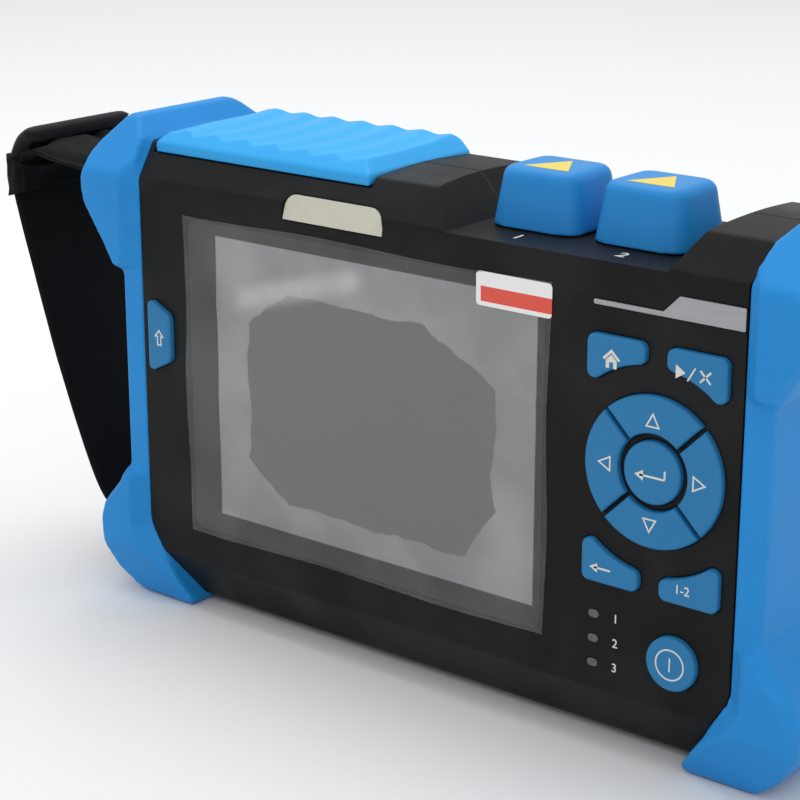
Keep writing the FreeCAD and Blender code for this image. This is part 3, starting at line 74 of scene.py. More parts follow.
# --- studio --------------------------------------------------------------------------------------
# A wide pale table under an even sky, with one large soft lamp overhead and a weaker one in front.
# The table is matt, so the instrument leaves only a soft shadow on it.
class Amount:
    """A value that varies over a surface; sums of it add the maths nodes that they need."""

    def __init__(self, finish, socket):
        self.finish = finish
        self.socket = socket

    def maths(self, operation, *terms):
        return self.finish.node("ShaderNodeMath", {"operation": operation}, dict(enumerate(terms)))

    def __add__(self, other):
        return self.maths("ADD", self, other)

    def __sub__(self, other):
        return self.maths("SUBTRACT", self, other)

    def __rsub__(self, other):
        return self.maths("SUBTRACT", other, self)

    def __mul__(self, other):
        return self.maths("MULTIPLY", self, other)

    def __gt__(self, other):
        return self.maths("GREATER_THAN", self, other)

    def __lt__(self, other):
        return self.maths("LESS_THAN", self, other)

    __radd__ = __add__
    __rmul__ = __mul__

    def size(self):
        return self.maths("ABSOLUTE", self)

    def sine(self):
        return self.maths("SINE", self)

    def at_least(self, floor):
        return self.maths("MAXIMUM", self, floor)

    def ramp(self, low, high):
        """0 below one value, 1 above the other, and smooth between them."""
        return self.finish.node("ShaderNodeMapRange", {"interpolation_type": "SMOOTHSTEP"},
                                {"Value": self, "From Min": low, "From Max": high})


class Finish:
    """A material, or another shader tree, being made. Every node comes from its one method, node."""

    def __init__(self, name, owner=None):
        self.owner = owner or bpy.data.materials.new(name)
        self.owner.use_nodes = True
        self.tree = self.owner.node_tree
        self.tree.nodes.clear()

    def node(self, kind, settings=None, sockets=None, output=0):
        """Adds a node: its settings first, then the values or links of its sockets."""
        made = self.tree.nodes.new(kind)
        for name, value in (settings or {}).items():
            setattr(made, name, value)
        for name, value in (sockets or {}).items():
            if isinstance(value, Amount):
                self.tree.links.new(value.socket, made.inputs[name])
            else:
                made.inputs[name].default_value = value
        return Amount(self, made.outputs[output]) if made.outputs else None

    def places(self):
        """Object coordinates, in metres."""
        return self.node("ShaderNodeTexCoord", output=3)

    def axes(self):
        """The three Object coordinates, one by one."""
        place = self.places()
        return [self.node("ShaderNodeSeparateXYZ", None, {0: place}, axis) for axis in range(3)]

    def noise(self, size, detail=3.0, roughness=0.5, vector=None):
        """Soft random pattern with features of a size in metres, about 0.5 on average."""
        sockets = {"Vector": vector or self.places(), "Scale": 1.0 / size, "Detail": detail,
                   "Roughness": roughness}
        return self.node("ShaderNodeTexNoise", None, sockets)

    def tint(self, factor, first, second):
        """Colour between two colours."""
        return self.node("ShaderNodeMix", {"data_type": "RGBA"}, {0: factor, 6: first, 7: second}, 2)

    def bump(self, height, depth, under=None):
        """Normal of a surface that stands a height of 0 to 1 times a depth in metres proud."""
        sockets = {"Height": height, "Distance": depth, "Strength": 1.0}
        if under:
            sockets["Normal"] = under
        return self.node("ShaderNodeBump", None, sockets)

    def soft_edges(self, radius):
        return self.node("ShaderNodeBevel", {"samples": 4}, {"Radius": radius})

    def surface(self, **sockets):
        """Ends the material in one Principled shader."""
        named = {name.replace("_", " "): value for name, value in sockets.items()}
        shader = self.node("ShaderNodeBsdfPrincipled", None, named)
        self.node("ShaderNodeOutputMaterial", None, {"Surface": shader})
        return self.owner


def colour(red, green, blue):
    return (red, green, blue, 1.0)


def shown(name, mesh, material=None):
    """Links a mesh or a curve as an object at the origin."""
    piece = bpy.data.objects.new(name, mesh)
    bpy.context.scene.collection.objects.link(piece)
    if material:
        mesh.materials.clear()
        mesh.materials.append(material)
    return piece


def matt_table():
    finish = Finish("matt_table")
    grain = finish.noise(0.004, 2.0)
    shade = finish.tint(grain, colour(0.76, 0.76, 0.76), colour(0.78, 0.78, 0.78))
    return finish.surface(Base_Color=shade, Roughness=0.85, Specular_IOR_Level=0.2,
                          Normal=finish.bump(grain, 0.00002))


table_half = 6.0
table_mesh = bpy.data.meshes.new("table")
table_mesh.from_pydata([(-table_half, -table_half, 0), (table_half, -table_half, 0),
                        (table_half, table_half, 0), (-table_half, table_half, 0)], [], [(0, 1, 2, 3)])
table = shown("table", table_mesh, matt_table())

even_light = 0.43
light_from_above = 0.60
backdrop_tone = 0.80


def studio_sky():
    """Even light that is stronger from above; a white backdrop is seen and mirrored in its place."""
    finish = Finish("sky", bpy.data.worlds.new("sky"))
    direction = finish.node("ShaderNodeTexCoord")
    height = finish.node("ShaderNodeSeparateXYZ", None, {0: direction}, 2)
    strength = even_light + light_from_above * height.ramp(-0.05, 0.75)
    light = finish.node("ShaderNodeBackground", None,
                        {"Color": colour(0.97, 0.985, 1.0), "Strength": strength})
    backdrop = finish.node("ShaderNodeBackground", None,
                           {"Color": colour(backdrop_tone, backdrop_tone, backdrop_tone), "Strength": 1.0})
    looking, mirrored, looking_through = [finish.node("ShaderNodeLightPath", output=output)
                                          for output in (0, 3, 6)]
    seen = looking.at_least(mirrored).at_least(looking_through)
    mixed = finish.node("ShaderNodeMixShader", None, {0: seen, 1: light, 2: backdrop})
    finish.node("ShaderNodeOutputWorld", None, {"Surface": mixed})
    return finish.owner


bpy.context.scene.world = studio_sky()
bpy.context.scene.view_settings.view_transform = "Standard"


def soft_lamp(name, place, aim, width, watts):
    light = bpy.data.lights.new(name, "AREA")
    light.shape = "SQUARE"
    light.size = width
    light.energy = watts
    lamp = bpy.data.objects.new(name, light)
    lamp.location = place
    lamp.rotation_mode = "QUATERNION"
    lamp.rotation_quaternion = (Vector(aim) - Vector(place)).to_track_quat("-Z", "Y")
    bpy.context.scene.collection.objects.link(lamp)


soft_lamp("overhead_lamp", (-0.35, 0.30, 1.5), (0, 0, 0), width=1.2, watts=10.5)
soft_lamp("front_lamp", (0.9, -1.3, 1.0), (0, 0, 0.05), width=0.9, watts=2.8)


# --- black housing -------------------------------------------------------------------------------
# Two shells moulded in black ABS with a fine spark-eroded texture, closed with six screws.
# Handling has polished the texture a little in places, and its edges are slightly rounded.
def black_moulding(name, shade, roughness):
    """Black plastic with a fine grain, faint polished smears and a few specks of dust."""
    finish = Finish(name)
    grain = finish.noise(0.00035, 2.0, 0.6)
    smears = finish.noise(0.03, 3.0, 0.55).ramp(0.42, 0.62)
    dust = finish.noise(0.0016, 4.0, 0.7).ramp(0.66, 0.74)
    dust_grey = colour(0.030, 0.030, 0.032)
    tone = finish.tint(dust * 0.35 + smears * 0.2, colour(*shade), dust_grey)
    edges = finish.soft_edges(0.0005)
    return finish.surface(Base_Color=tone, Roughness=roughness - 0.07 * smears,
                          Specular_IOR_Level=0.14, Normal=finish.bump(grain, 0.00003, edges))


def give(material, *node_names):
    """Gives CAD pieces their finish."""
    for node_name in node_names:
        piece = frame["nodes"][node_name]
        piece.data.materials.clear()
        piece.data.materials.append(material)


shell_black = black_moulding("shell_black", (0.0060, 0.0059, 0.0062), 0.50)
give(shell_black, "front_shell", "rear_shell", "battery_door")


# --- blue corner guards --------------------------------------------------------------------------
# Soft blue elastomer moulded over both ends of the housing, with raised pads at the corners.
# It is silky and slightly mottled, and every edge of it is well rounded.
def rubber(name, shade, worn_shade, roughness, grain_size=0.0004):
    """Soft elastomer with a very fine grain, a faint cloudiness and small scuffs."""
    finish = Finish(name)
    grain = finish.noise(grain_size, 2.0, 0.6)
    cloud = finish.noise(0.025, 3.0, 0.5).ramp(0.35, 0.65)
    scuff = finish.noise(0.004, 5.0, 0.72).ramp(0.64, 0.72)
    tone = finish.tint(cloud * 0.35 + scuff * 0.3, colour(*shade), colour(*worn_shade))
    return finish.surface(Base_Color=tone, Roughness=roughness + 0.06 * cloud + 0.08 * scuff,
                          Specular_IOR_Level=0.25, Normal=finish.bump(grain, 0.000025))


weld_distance = 0.000002


def plain_mesh(carrier):
    """The mesh that an object comes to once its modifiers are applied; the object is removed."""
    whole = carrier.evaluated_get(bpy.context.evaluated_depsgraph_get())
    mesh = bpy.data.meshes.new_from_object(whole)
    bpy.data.objects.remove(carrier)
    return mesh


def softened(node_name, voxel, passes):
    """Copy of a CAD piece's mesh with its edges rounded as a moulding has them."""
    mesh = frame["nodes"][node_name].data.copy()
    bm = bmesh.new()
    bm.from_mesh(mesh)
    bmesh.ops.remove_doubles(bm, verts=bm.verts, dist=weld_distance)
    bm.to_mesh(mesh)
    bm.free()
    rough = shown(node_name + "_rough", mesh)
    remesh = rough.modifiers.new("remesh", "REMESH")
    remesh.mode = "VOXEL"
    remesh.voxel_size = voxel
    smooth = rough.modifiers.new("smooth", "SMOOTH")
    smooth.factor = 0.5
    smooth.iterations = passes
    made = plain_mesh(rough)
    made.shade_smooth()
    return made


def body_of(node_name):
    """Name of the moving body that a CAD piece belongs to."""
    for body, members in frame["record"]["behaviour"]["bodies"].items():
        if node_name in members:
            return body


def moulded(node_name, voxel, passes, material):
    """Puts a softened copy in the place of a CAD piece."""
    piece = shown(node_name + "_moulding", softened(node_name, voxel, passes), material)
    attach(piece, body_of(node_name))
    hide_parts(node_name)


guard_blue = rubber("guard_blue", (0.012, 0.238, 0.615), (0.022, 0.280, 0.680), 0.50)
for guard_name in ("right_guard", "left_guard"):
    moulded(guard_name, 0.0008, 5, guard_blue)


# --- dust caps -----------------------------------------------------------------------------------
# Two hollow tapered caps of the same elastomer, hinged behind the optical ports.
# Each carries a plain yellow triangle, cut from film and stuck on its top.
cap_blue = rubber("cap_blue", (0.014, 0.225, 0.580), (0.024, 0.255, 0.620), 0.44)
for cap_name in ("vfl_cap", "otdr_cap"):
    moulded(cap_name, 0.0005, 6, cap_blue)


def dimmed(shade, share):
    """A colour at a share of its brightness."""
    return colour(*(share * part for part in shade))


def printed_ink(name, shade, roughness):
    finish = Finish(name)
    speckle = finish.noise(0.0003, 3.0, 0.6).ramp(0.3, 0.7)
    tone = finish.tint(speckle, dimmed(shade, 0.86), colour(*shade))
    return finish.surface(Base_Color=tone, Roughness=roughness)


def flat_mesh(name, outlines, thickness):
    """Thin mesh on closed flat outlines, each a list of points; an outline inside another is a hole."""
    curve = bpy.data.curves.new(name, "CURVE")
    curve.dimensions = "2D"
    curve.fill_mode = "BOTH"
    curve.extrude = thickness / 2
    for outline in outlines:
        spline = curve.splines.new("POLY")
        spline.points.add(len(outline) - 1)
        for point, (u, v) in zip(spline.points, outline):
            point.co = (u, v, 0, 1)
        spline.use_cyclic_u = True
    return plain_mesh(shown(name, curve))


def triangle(width, height, grow=0.0):
    """Upright triangle about its middle, grown all round by a distance."""
    slope = math.atan2(height, width / 2)
    side = grow / math.tan(slope / 2)
    tip = grow / math.sin(math.pi / 2 - slope)
    return [(-width / 2 - side, -height / 2 - grow), (width / 2 + side, -height / 2 - grow),
            (0, height / 2 + tip)]


sticker_yellow = printed_ink("sticker_yellow", (0.80, 0.62, 0.05), 0.35)
sticker_width = 0.0140
sticker_length = 0.0124
sticker_thick = 0.00012
sticker_right = 0.0012
sticker_back = 0.0117
sticker_gap = 0.00001
for cap_name in ("vfl_cap", "otdr_cap"):
    low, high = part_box(cap_name)
    sticker = flat_mesh(cap_name + "_sticker", [triangle(sticker_width, sticker_length)], sticker_thick)
    middle = ((low.x + high.x) / 2 + sticker_right, low.y + sticker_back, high.z + sticker_gap)
    sticker.transform(Matrix.Translation(middle))
    piece = shown(cap_name + "_sticker", sticker, sticker_yellow)
    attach(piece, body_of(cap_name))


# --- ribbed port cover ---------------------------------------------------------------------------
# A satin blue door moulded with seven soft ribs. It swings up over the sockets on two short steel
# pins at its back.
cover_blue = rubber("cover_blue", (0.028, 0.365, 0.790), (0.042, 0.395, 0.830), 0.50)
moulded("port_cover", 0.00055, 4, cover_blue)


# --- keys ----------------------------------------------------------------------------------------
# Eleven silicone keys with printed marks; each is pressed on its own.
# The marks are cream ink: arrows, a house, start and stop, a ring with a bar, and plain numbers.
key_blue = rubber("key_blue", (0.018, 0.175, 0.385), (0.028, 0.195, 0.410), 0.44, 0.0003)
key_names = [name for name in frame["nodes"] if name.startswith("key_") and name != "key_domes"]
give(key_blue, *key_names)

ink_cream = printed_ink("ink_cream", (0.72, 0.72, 0.66), 0.5)
ink_thick = 0.00006


def bar(x0, y0, x1, y1, width):
    """Four corners of a straight stroke."""
    along = Vector((x1 - x0, y1 - y0)).normalized() * (width / 2)
    across = Vector((-along.y, along.x))
    start, end = Vector((x0, y0)), Vector((x1, y1))
    return [tuple(start - across), tuple(end - across), tuple(end + across), tuple(start + across)]


def circle(radius, steps=48):
    return [(radius * math.cos(2 * math.pi * i / steps), radius * math.sin(2 * math.pi * i / steps))
            for i in range(steps)]


def turned(outline, angle):
    turn = Matrix.Rotation(math.radians(angle), 2)
    return [tuple(turn @ Vector(point)) for point in outline]


def moved(outline, x, y):
    return [(u + x, v + y) for u, v in outline]


def stand_on_face(mesh, x, y, z):
    """Turns a flat mesh upright to face the front and puts it in its place."""
    mesh.transform(Matrix.Translation((x, y, z)) @ Matrix.Rotation(math.pi / 2, 4, "X"))


def printed(name, body, mesh):
    """Shows a printed mesh in cream ink and lets it ride on its piece."""
    piece = shown(name, mesh, ink_cream)
    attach(piece, body)


def mark(name, body, outline_groups, x, z, y):
    """Printed mark; each group of outlines is filled by itself, so that strokes may cross."""
    bm = bmesh.new()
    for outlines in outline_groups:
        part = flat_mesh(name, outlines, ink_thick)
        bm.from_mesh(part)
        bpy.data.meshes.remove(part)
    mesh = bpy.data.meshes.new(name)
    bm.to_mesh(mesh)
    bm.free()
    stand_on_face(mesh, x, y, z)
    printed(name, body, mesh)


figure_share = 0.7
boldness = 0.012


def number(name, body, text, height, x, z, y, lying=False):
    """Plain number, centred on its place; lying on a level surface or upright on the face."""
    curve = bpy.data.curves.new(name, "FONT")
    curve.body = text
    curve.size = height / figure_share
    curve.align_x = "CENTER"
    curve.align_y = "CENTER"
    curve.extrude = ink_thick / 2
    curve.offset = height * boldness
    mesh = plain_mesh(shown(name, curve))
    if lying:
        mesh.transform(Matrix.Translation((x, y, z)))
    else:
        stand_on_face(mesh, x, y, z)
    printed(name, body, mesh)


stroke = 0.00042
thick_stroke = stroke * 1.3
cross_stroke = stroke * 1.25
ink_gap = 0.00002
enter_low, enter_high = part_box("key_enter")
key_front = enter_low.y - ink_gap
ring_x = (enter_low.x + enter_high.x) / 2
ring_z = (enter_low.z + enter_high.z) / 2

arrow = [triangle(0.0044, 0.0040), triangle(0.0044, 0.0040, -stroke)]
arrow_out = 0.0140
for arrow_name, turn, side, up in (("up", 0, 0, 1), ("left", 90, -1, 0), ("down", 180, 0, -1),
                                   ("right", 270, 1, 0)):
    outlines = [turned(outline, turn) for outline in arrow]
    mark("mark_" + arrow_name, "key_" + arrow_name, [outlines], ring_x + side * arrow_out,
         ring_z + up * arrow_out, key_front)

# The wide bent arrow of an entry key.
bent = [[bar(0.0040, 0.0014, 0.0040, -0.0009, thick_stroke)],
        [bar(0.0040, -0.0009, -0.0034, -0.0009, thick_stroke)],
        [moved(turned(triangle(0.0028, 0.0026), 90), -0.0036, -0.0009)]]
mark("mark_enter", "key_enter", bent, ring_x, ring_z, key_front)

# The four corner keys, whose marks stand a little off the same distances from the ring's middle.
corner_out = 0.0117
corner_up = 0.0286
roof = [(-0.0026, -0.0001), (0, 0.0024), (0.0026, -0.0001), (0.0021, -0.0006), (0, 0.0014),
        (-0.0021, -0.0006)]
walls = [(-0.0016, -0.0005), (0, 0.0010), (0.0016, -0.0005), (0.0016, -0.0026), (0.0006, -0.0026),
         (0.0006, -0.0010), (-0.0006, -0.0010), (-0.0006, -0.0026), (-0.0016, -0.0026)]
mark("mark_home", "key_home", [[roof], [walls]],
     ring_x - corner_out - 0.0010, ring_z + corner_up - 0.0010, key_front)
start_stop = [[moved(turned(triangle(0.0036, 0.0028), 270), -0.0041, 0.0002)],
              [bar(-0.0021, -0.0017, 0.0000, 0.0019, stroke)],
              [bar(0.0014, -0.0014, 0.0044, 0.0016, cross_stroke)],
              [bar(0.0014, 0.0016, 0.0044, -0.0014, cross_stroke)]]
mark("mark_run_stop", "key_run_stop", start_stop,
     ring_x + corner_out - 0.0002, ring_z + corner_up - 0.0010, key_front)
back_arrow = [[bar(-0.0022, 0.0, 0.0028, 0.0, thick_stroke)],
              [moved(turned(triangle(0.0026, 0.0024), 90), -0.0024, 0)]]
mark("mark_esc", "key_esc", back_arrow,
     ring_x - corner_out - 0.0022, ring_z - corner_up - 0.0004, key_front)
key_figure = 0.0024
number("mark_marker", "key_marker", "1-2", key_figure,
       ring_x + corner_out - 0.0014, ring_z - corner_up - 0.0003, key_front)

power_low, power_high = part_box("key_power")
power_ring = 0.0043
power_bar = 0.0019
power_sign = [[circle(power_ring), circle(power_ring - stroke)], [bar(0, -power_bar, 0, power_bar, stroke)]]
mark("mark_power", "key_power", power_sign,
     (power_low.x + power_high.x) / 2, (power_low.z + power_high.z) / 2, key_front)

shift_low, shift_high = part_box("key_shift")
shift_arrow = [(-0.0020, 0.0), (0, 0.0024), (0.0020, 0.0), (0.0009, 0.0), (0.0009, -0.0026),
               (-0.0009, -0.0026), (-0.0009, 0.0)]
shift_hole = [(-0.0010, 0.0004), (0, 0.0017), (0.0010, 0.0004), (0.0005, 0.0004), (0.0005, -0.0022),
              (-0.0005, -0.0022), (-0.0005, 0.0004)]
mark("mark_shift", "key_shift", [[shift_arrow, shift_hole]],
     (shift_low.x + shift_high.x) / 2, (shift_low.z + shift_high.z) / 2, shift_low.y - ink_gap)


# --- lamps and port numbers ----------------------------------------------------------------------
# Three smoked oval lenses set in the face, with a printed number beside each, and a printed
# number on the ledge in front of each optical port.
def smoked_lens():
    finish = Finish("smoked_lens")
    cloud = finish.noise(0.002, 2.0)
    tone = finish.tint(cloud, colour(0.055, 0.055, 0.060), colour(0.085, 0.085, 0.090))
    return finish.surface(Base_Color=tone, Roughness=0.22, Coat_Weight=0.6, Coat_Roughness=0.08)


give(smoked_lens(), "indicator_lenses")
lens_low, lens_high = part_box("indicator_lenses")
lens_half = 0.0011
lens_pitch = (lens_high.z - lens_low.z - 2 * lens_half) / 2
face_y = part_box("front_shell")[0].y
lamp_figure = 0.0024
figure_right = 0.0052
figure_gap = 0.00003
for row in range(3):
    number("lamp_number_" + str(row + 1), "housing", str(row + 1), lamp_figure,
           lens_high.x + figure_right, lens_high.z - lens_half - row * lens_pitch, face_y - figure_gap)

ledge_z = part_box("adapter_screws")[0].z - 0.00005
port_figure = 0.0042
for port, cap_name in enumerate(("vfl_cap", "otdr_cap")):
    low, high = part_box(cap_name)
    number("port_number_" + str(port + 1), "housing", str(port + 1), port_figure,
           (low.x + high.x) / 2 + 0.0010, ledge_z + figure_gap, low.y - 0.0062, lying=True)


# --- name plate and trim -------------------------------------------------------------------------
# A cream enamelled plate over the display and a strip of brushed silver over the keys, both stuck
# in shallow recesses and left bare.
def cream_enamel():
    finish = Finish("cream_enamel")
    cloud = finish.noise(0.006, 3.0, 0.6)
    tone = finish.tint(cloud, colour(0.50, 0.49, 0.40), colour(0.60, 0.59, 0.49))
    return finish.surface(Base_Color=tone, Roughness=0.32, Coat_Weight=0.3, Coat_Roughness=0.15,
                          Normal=finish.bump(cloud, 0.00002, finish.soft_edges(0.0003)))


def brushed_silver():
    finish = Finish("brushed_silver")
    x, y, z = finish.axes()
    stretch = 0.04
    streak = finish.node("ShaderNodeCombineXYZ", None, {0: x * stretch, 1: y, 2: z})
    brushing = finish.noise(0.00025, 4.0, 0.6, streak)
    tone = finish.tint(brushing, colour(0.28, 0.28, 0.29), colour(0.44, 0.44, 0.45))
    return finish.surface(Base_Color=tone, Metallic=0.75, Roughness=0.30 + 0.12 * brushing,
                          Normal=finish.bump(brushing, 0.000006, finish.soft_edges(0.0002)))


give(cream_enamel(), "name_plate")
give(brushed_silver(), "trim_strip")


# --- display -------------------------------------------------------------------------------------
# A dark liquid-crystal panel held by a steel bracket behind a clear window that is set in the
# face. The window's border is printed black on the inside.
def panel_grey():
    finish = Finish("panel_grey")
    x, y, z = finish.axes()
    cloud = finish.noise(0.05, 2.0, 0.5)
    # The panel is painted lighter towards its top: a painted reflection of the light from above.
    painted_top_reflection = z.ramp(0.035, 0.12)
    tone = finish.tint((cloud + painted_top_reflection) * 0.5, colour(0.030, 0.032, 0.033), colour(0.048, 0.050, 0.051))
    return finish.surface(Base_Color=tone, Roughness=0.35, Coat_Weight=0.5, Coat_Roughness=0.06)


active_half_x = 0.05645
active_half_z = 0.04225
panel_low, panel_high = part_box("lcd_panel")
active_x = (panel_low.x + panel_high.x) / 2
active_z = (panel_low.z + panel_high.z) / 2


def outside_picture(x, z):
    """How far a place lies outside the picture area."""
    return ((x - active_x).size() - active_half_x).at_least((z - active_z).size() - active_half_z)


def window_glass():
    finish = Finish("window_glass")
    x, y, z = finish.axes()
    print_edge = 0.00005
    border = outside_picture(x, z).ramp(-print_edge, print_edge)
    haze = finish.noise(0.02, 2.0)
    return finish.surface(Base_Color=colour(0.004, 0.004, 0.0045), Roughness=0.05 + 0.04 * haze,
                          Alpha=border.at_least(0.06), Specular_IOR_Level=0.5)


give(panel_grey(), "lcd_panel")
give(window_glass(), "display_window")


# --- protective film -----------------------------------------------------------------------------
# Thin clear film laid over the window for delivery. It clings in the middle, is milky around that,
# and is puckered along its edges; the sticker for pulling it off is at its upper right.
film_low, film_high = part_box("window_film")
film_columns = 190
film_rows = 142
cling_middle = Vector((active_x - 0.0003, 0, active_z - 0.0020))
cling_sides = ((0, 43.2), (60, 36.5), (90, 30.9), (123, 41.6),
               (180, 44.3), (232, 43.1), (270, 31.7), (328, 45.3))
crease_ends = [Vector((film_high.x - away, 0, film_high.z - drop))
               for away, drop in ((0.0075, 0.0225), (0.0150, 0.0310), (0.0016, 0.0345))]


def from_crease(x, z):
    """Distance of a place from the sharp crease at the film's right."""
    place = Vector((x, 0, z))
    nearest = []
    for start, end in zip(crease_ends, crease_ends[1:]):
        share = min(1.0, max(0.0, (place - start).dot(end - start) / (end - start).length_squared))
        nearest.append((place - start.lerp(end, share)).length)
    return min(nearest)


def bell(distance, reach):
    """1 at no distance, fading to 0 well past a reach."""
    return math.exp(-(distance / reach) ** 2)


film_gap = 0.00008
pucker_height = 0.00028
pucker_reach = 0.006
fold_height = 0.00045
fold_middle = film_low.x + 0.008
fold_reach = 0.009
crease_height = 0.00035
crease_reach = 0.0010


def film_height(x, z):
    """How far the film stands off the window at a point: puckers round its edges, folds at its left
    and a crease at its right, and next to nothing inside."""
    edge = min(x - film_low.x, film_high.x - x, z - film_low.z, film_high.z - z)
    ripple = noise.noise(Vector((x * 70, z * 70, 3.0)))
    puckers = math.exp(-max(edge, 0.0) / pucker_reach) * (0.6 + 0.4 * ripple)
    wander = noise.noise(Vector((x * 30, z * 30, 8.0)))
    waves = 0.5 + 0.5 * math.sin((z * 1.15 + x * 0.5) * 150 + 3.0 * wander)
    folds = bell(x - fold_middle, fold_reach) * waves ** 4
    crease = bell(from_crease(x, z), crease_reach)
    return film_gap + pucker_height * puckers + fold_height * folds + crease_height * crease


film_inset = 0.0004
edge_wave = 0.0009


def film_edge(share, phase):
    """Inward shift of a wavy edge of the film."""
    return film_inset + edge_wave * (1 + math.sin(share * 9.4 + phase)) * 0.5


def film_point(u, v):
    """Place on the film at a share of its width and of its height."""
    left, right = film_low.x + film_edge(v, 0.5), film_high.x - film_edge(v, 2.0)
    foot, top = film_low.z + film_edge(u, 4.0), film_high.z - film_edge(u, 1.0)
    return left + (right - left) * u, foot + (top - foot) * v


film_mesh = bpy.data.meshes.new("window_film_sheet")
film_points = []
for row in range(film_rows + 1):
    for column in range(film_columns + 1):
        x, z = film_point(column / film_columns, row / film_rows)
        film_points.append((x, face_y - film_height(x, z), z))
film_faces = []
for row in range(film_rows):
    for column in range(film_columns):
        corner = row * (film_columns + 1) + column
        film_faces.append((corner, corner + 1, corner + film_columns + 2, corner + film_columns + 1))
film_mesh.from_pydata(film_points, [], film_faces)
film_mesh.shade_smooth()


smudge_middle = Vector((active_x - 0.026, 0, active_z + 0.031))
smudge_slope = 0.28


def clear_film():
    """Clear where it clings to the window, milky around that, with one long smudge at the top. Over the
    picture area it is painted a lighter grey, a painted reflection of the lit panel under it, and over the
    black border a darker tone.
    """
    finish = Finish("clear_film")
    x, y, z = finish.axes()
    away = None
    for degrees, reach in cling_sides:
        side = math.radians(degrees)
        outward = (x - cling_middle.x) * math.cos(side) + (z - cling_middle.z) * math.sin(side)
        beyond = outward - reach / 1000
        away = away.at_least(beyond) if away else beyond
    milky = (away + (finish.noise(0.012, 3.0, 0.55) - 0.5) * 0.005).ramp(-0.0002, 0.0004)
    picture = outside_picture(x, z).ramp(0.0002, -0.0002)
    along = x - smudge_middle.x
    off_line = (z - smudge_middle.z) - along * smudge_slope
    streak = off_line.size().ramp(0.0056, 0.0004) * along.size().ramp(0.027, 0.018)
    smudge = streak * (0.35 + 0.4 * finish.noise(0.016, 4.0, 0.6).ramp(0.25, 0.75))
    cloud = finish.noise(0.030, 3.0, 0.5).ramp(0.35, 0.70)
    loose = finish.tint(cloud, colour(0.43, 0.44, 0.44), colour(0.58, 0.59, 0.59))
    # Painted reflection: over the picture area the film carries the lit grey of the panel under it; over the
    # border it is painted darker, as the black print shows through.
    painted_reflection_over_picture = finish.tint(milky, colour(0.285, 0.295, 0.300), loose)
    over_border = finish.tint(cloud, colour(0.15, 0.15, 0.15), colour(0.25, 0.25, 0.25))
    plain = finish.tint(picture, over_border, painted_reflection_over_picture)
    tone = finish.tint(smudge, plain, colour(0.90, 0.90, 0.90))
    haze = 0.34 + 0.20 * picture + 0.10 * smudge
    return finish.surface(Base_Color=tone, Roughness=0.22 + 0.15 * milky, Alpha=haze, Specular_IOR_Level=0.35)


film = shown("window_film_sheet", film_mesh, clear_film())
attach(film, "housing")
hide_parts("window_film")


tab_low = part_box("film_tab")[0]
band_top = tab_low.z + 0.0053
band_foot = tab_low.z + 0.0012
band_left = tab_low.x + 0.0015


def sticker_paper():
    """Coated white paper with one plain red band along its foot."""
    finish = Finish("sticker_paper")
    x, y, z = finish.axes()
    band = (z < band_top) * (z > band_foot) * (x > band_left)
    speckle = finish.noise(0.0004, 2.0)
    paper = finish.tint(speckle, colour(0.80, 0.78, 0.77), colour(0.86, 0.85, 0.84))
    tone = finish.tint(band, paper, colour(0.72, 0.075, 0.045))
    return finish.surface(Base_Color=tone, Roughness=0.35)


give(sticker_paper(), "film_tab")


# --- back, screws and sockets --------------------------------------------------------------------
# Steel screws and pins, a black folding stand, plated ports and moulded sockets, and the boards,
# cables and modules that the two shells close in.
def worn_steel(name, shade, roughness):
    finish = Finish(name)
    scratches = finish.noise(0.0008, 5.0, 0.7)
    tone = finish.tint(scratches, dimmed(shade, 0.8), colour(*shade))
    return finish.surface(Base_Color=tone, Metallic=1.0, Roughness=roughness + 0.15 * scratches,
                          Normal=finish.bump(scratches, 0.000004))


steel = worn_steel("steel", (0.56, 0.56, 0.57), 0.25)
give(steel, "cap_pins", "port_cover_pins", "kickstand_pins", "strap_pins", "usb_host_socket",
     "usb_device_socket", "adapter_screws", "board_screws", "display_bracket", "key_domes")
give(worn_steel("nickel", (0.70, 0.68, 0.64), 0.16), "otdr_adapter", "vfl_adapter")
give(worn_steel("blackened_steel", (0.10, 0.10, 0.105), 0.35),
     "housing_screws", "battery_door_screws", "speaker")
give(worn_steel("turned_brass", (0.72, 0.52, 0.24), 0.25), "vfl_laser")
give(worn_steel("module_aluminium", (0.66, 0.66, 0.67), 0.4), "otdr_module")
give(black_moulding("socket_black", (0.012, 0.012, 0.013), 0.4),
     "ethernet_socket", "power_socket", "kickstand")


def plain_plastic(name, shade, roughness):
    finish = Finish(name)
    cloud = finish.noise(0.004, 3.0, 0.6)
    tone = finish.tint(cloud, dimmed(shade, 0.85), colour(*shade))
    return finish.surface(Base_Color=tone, Roughness=roughness, Normal=finish.bump(cloud, 0.00001))


give(plain_plastic("zirconia", (0.82, 0.82, 0.80), 0.12), "ferrule_sleeves")
give(plain_plastic("circuit_board", (0.02, 0.16, 0.06), 0.4), "main_board", "keypad_board", "shift_board")
give(plain_plastic("grey_silicone", (0.30, 0.30, 0.31), 0.6), "keypad_mat")
give(plain_plastic("seal_rubber", (0.012, 0.012, 0.012), 0.7), "housing_seal")
give(plain_plastic("lamp_white", (0.75, 0.75, 0.65), 0.3), "indicator_leds")
give(plain_plastic("battery_wrap", (0.06, 0.09, 0.20), 0.35), "battery_pack")
give(plain_plastic("cable_amber", (0.45, 0.28, 0.08), 0.3), "display_cable")
give(plain_plastic("spool_white", (0.75, 0.75, 0.72), 0.45), "fibre_spool")
give(plain_plastic("fibre_yellow", (0.75, 0.66, 0.12), 0.4), "launch_fibre")


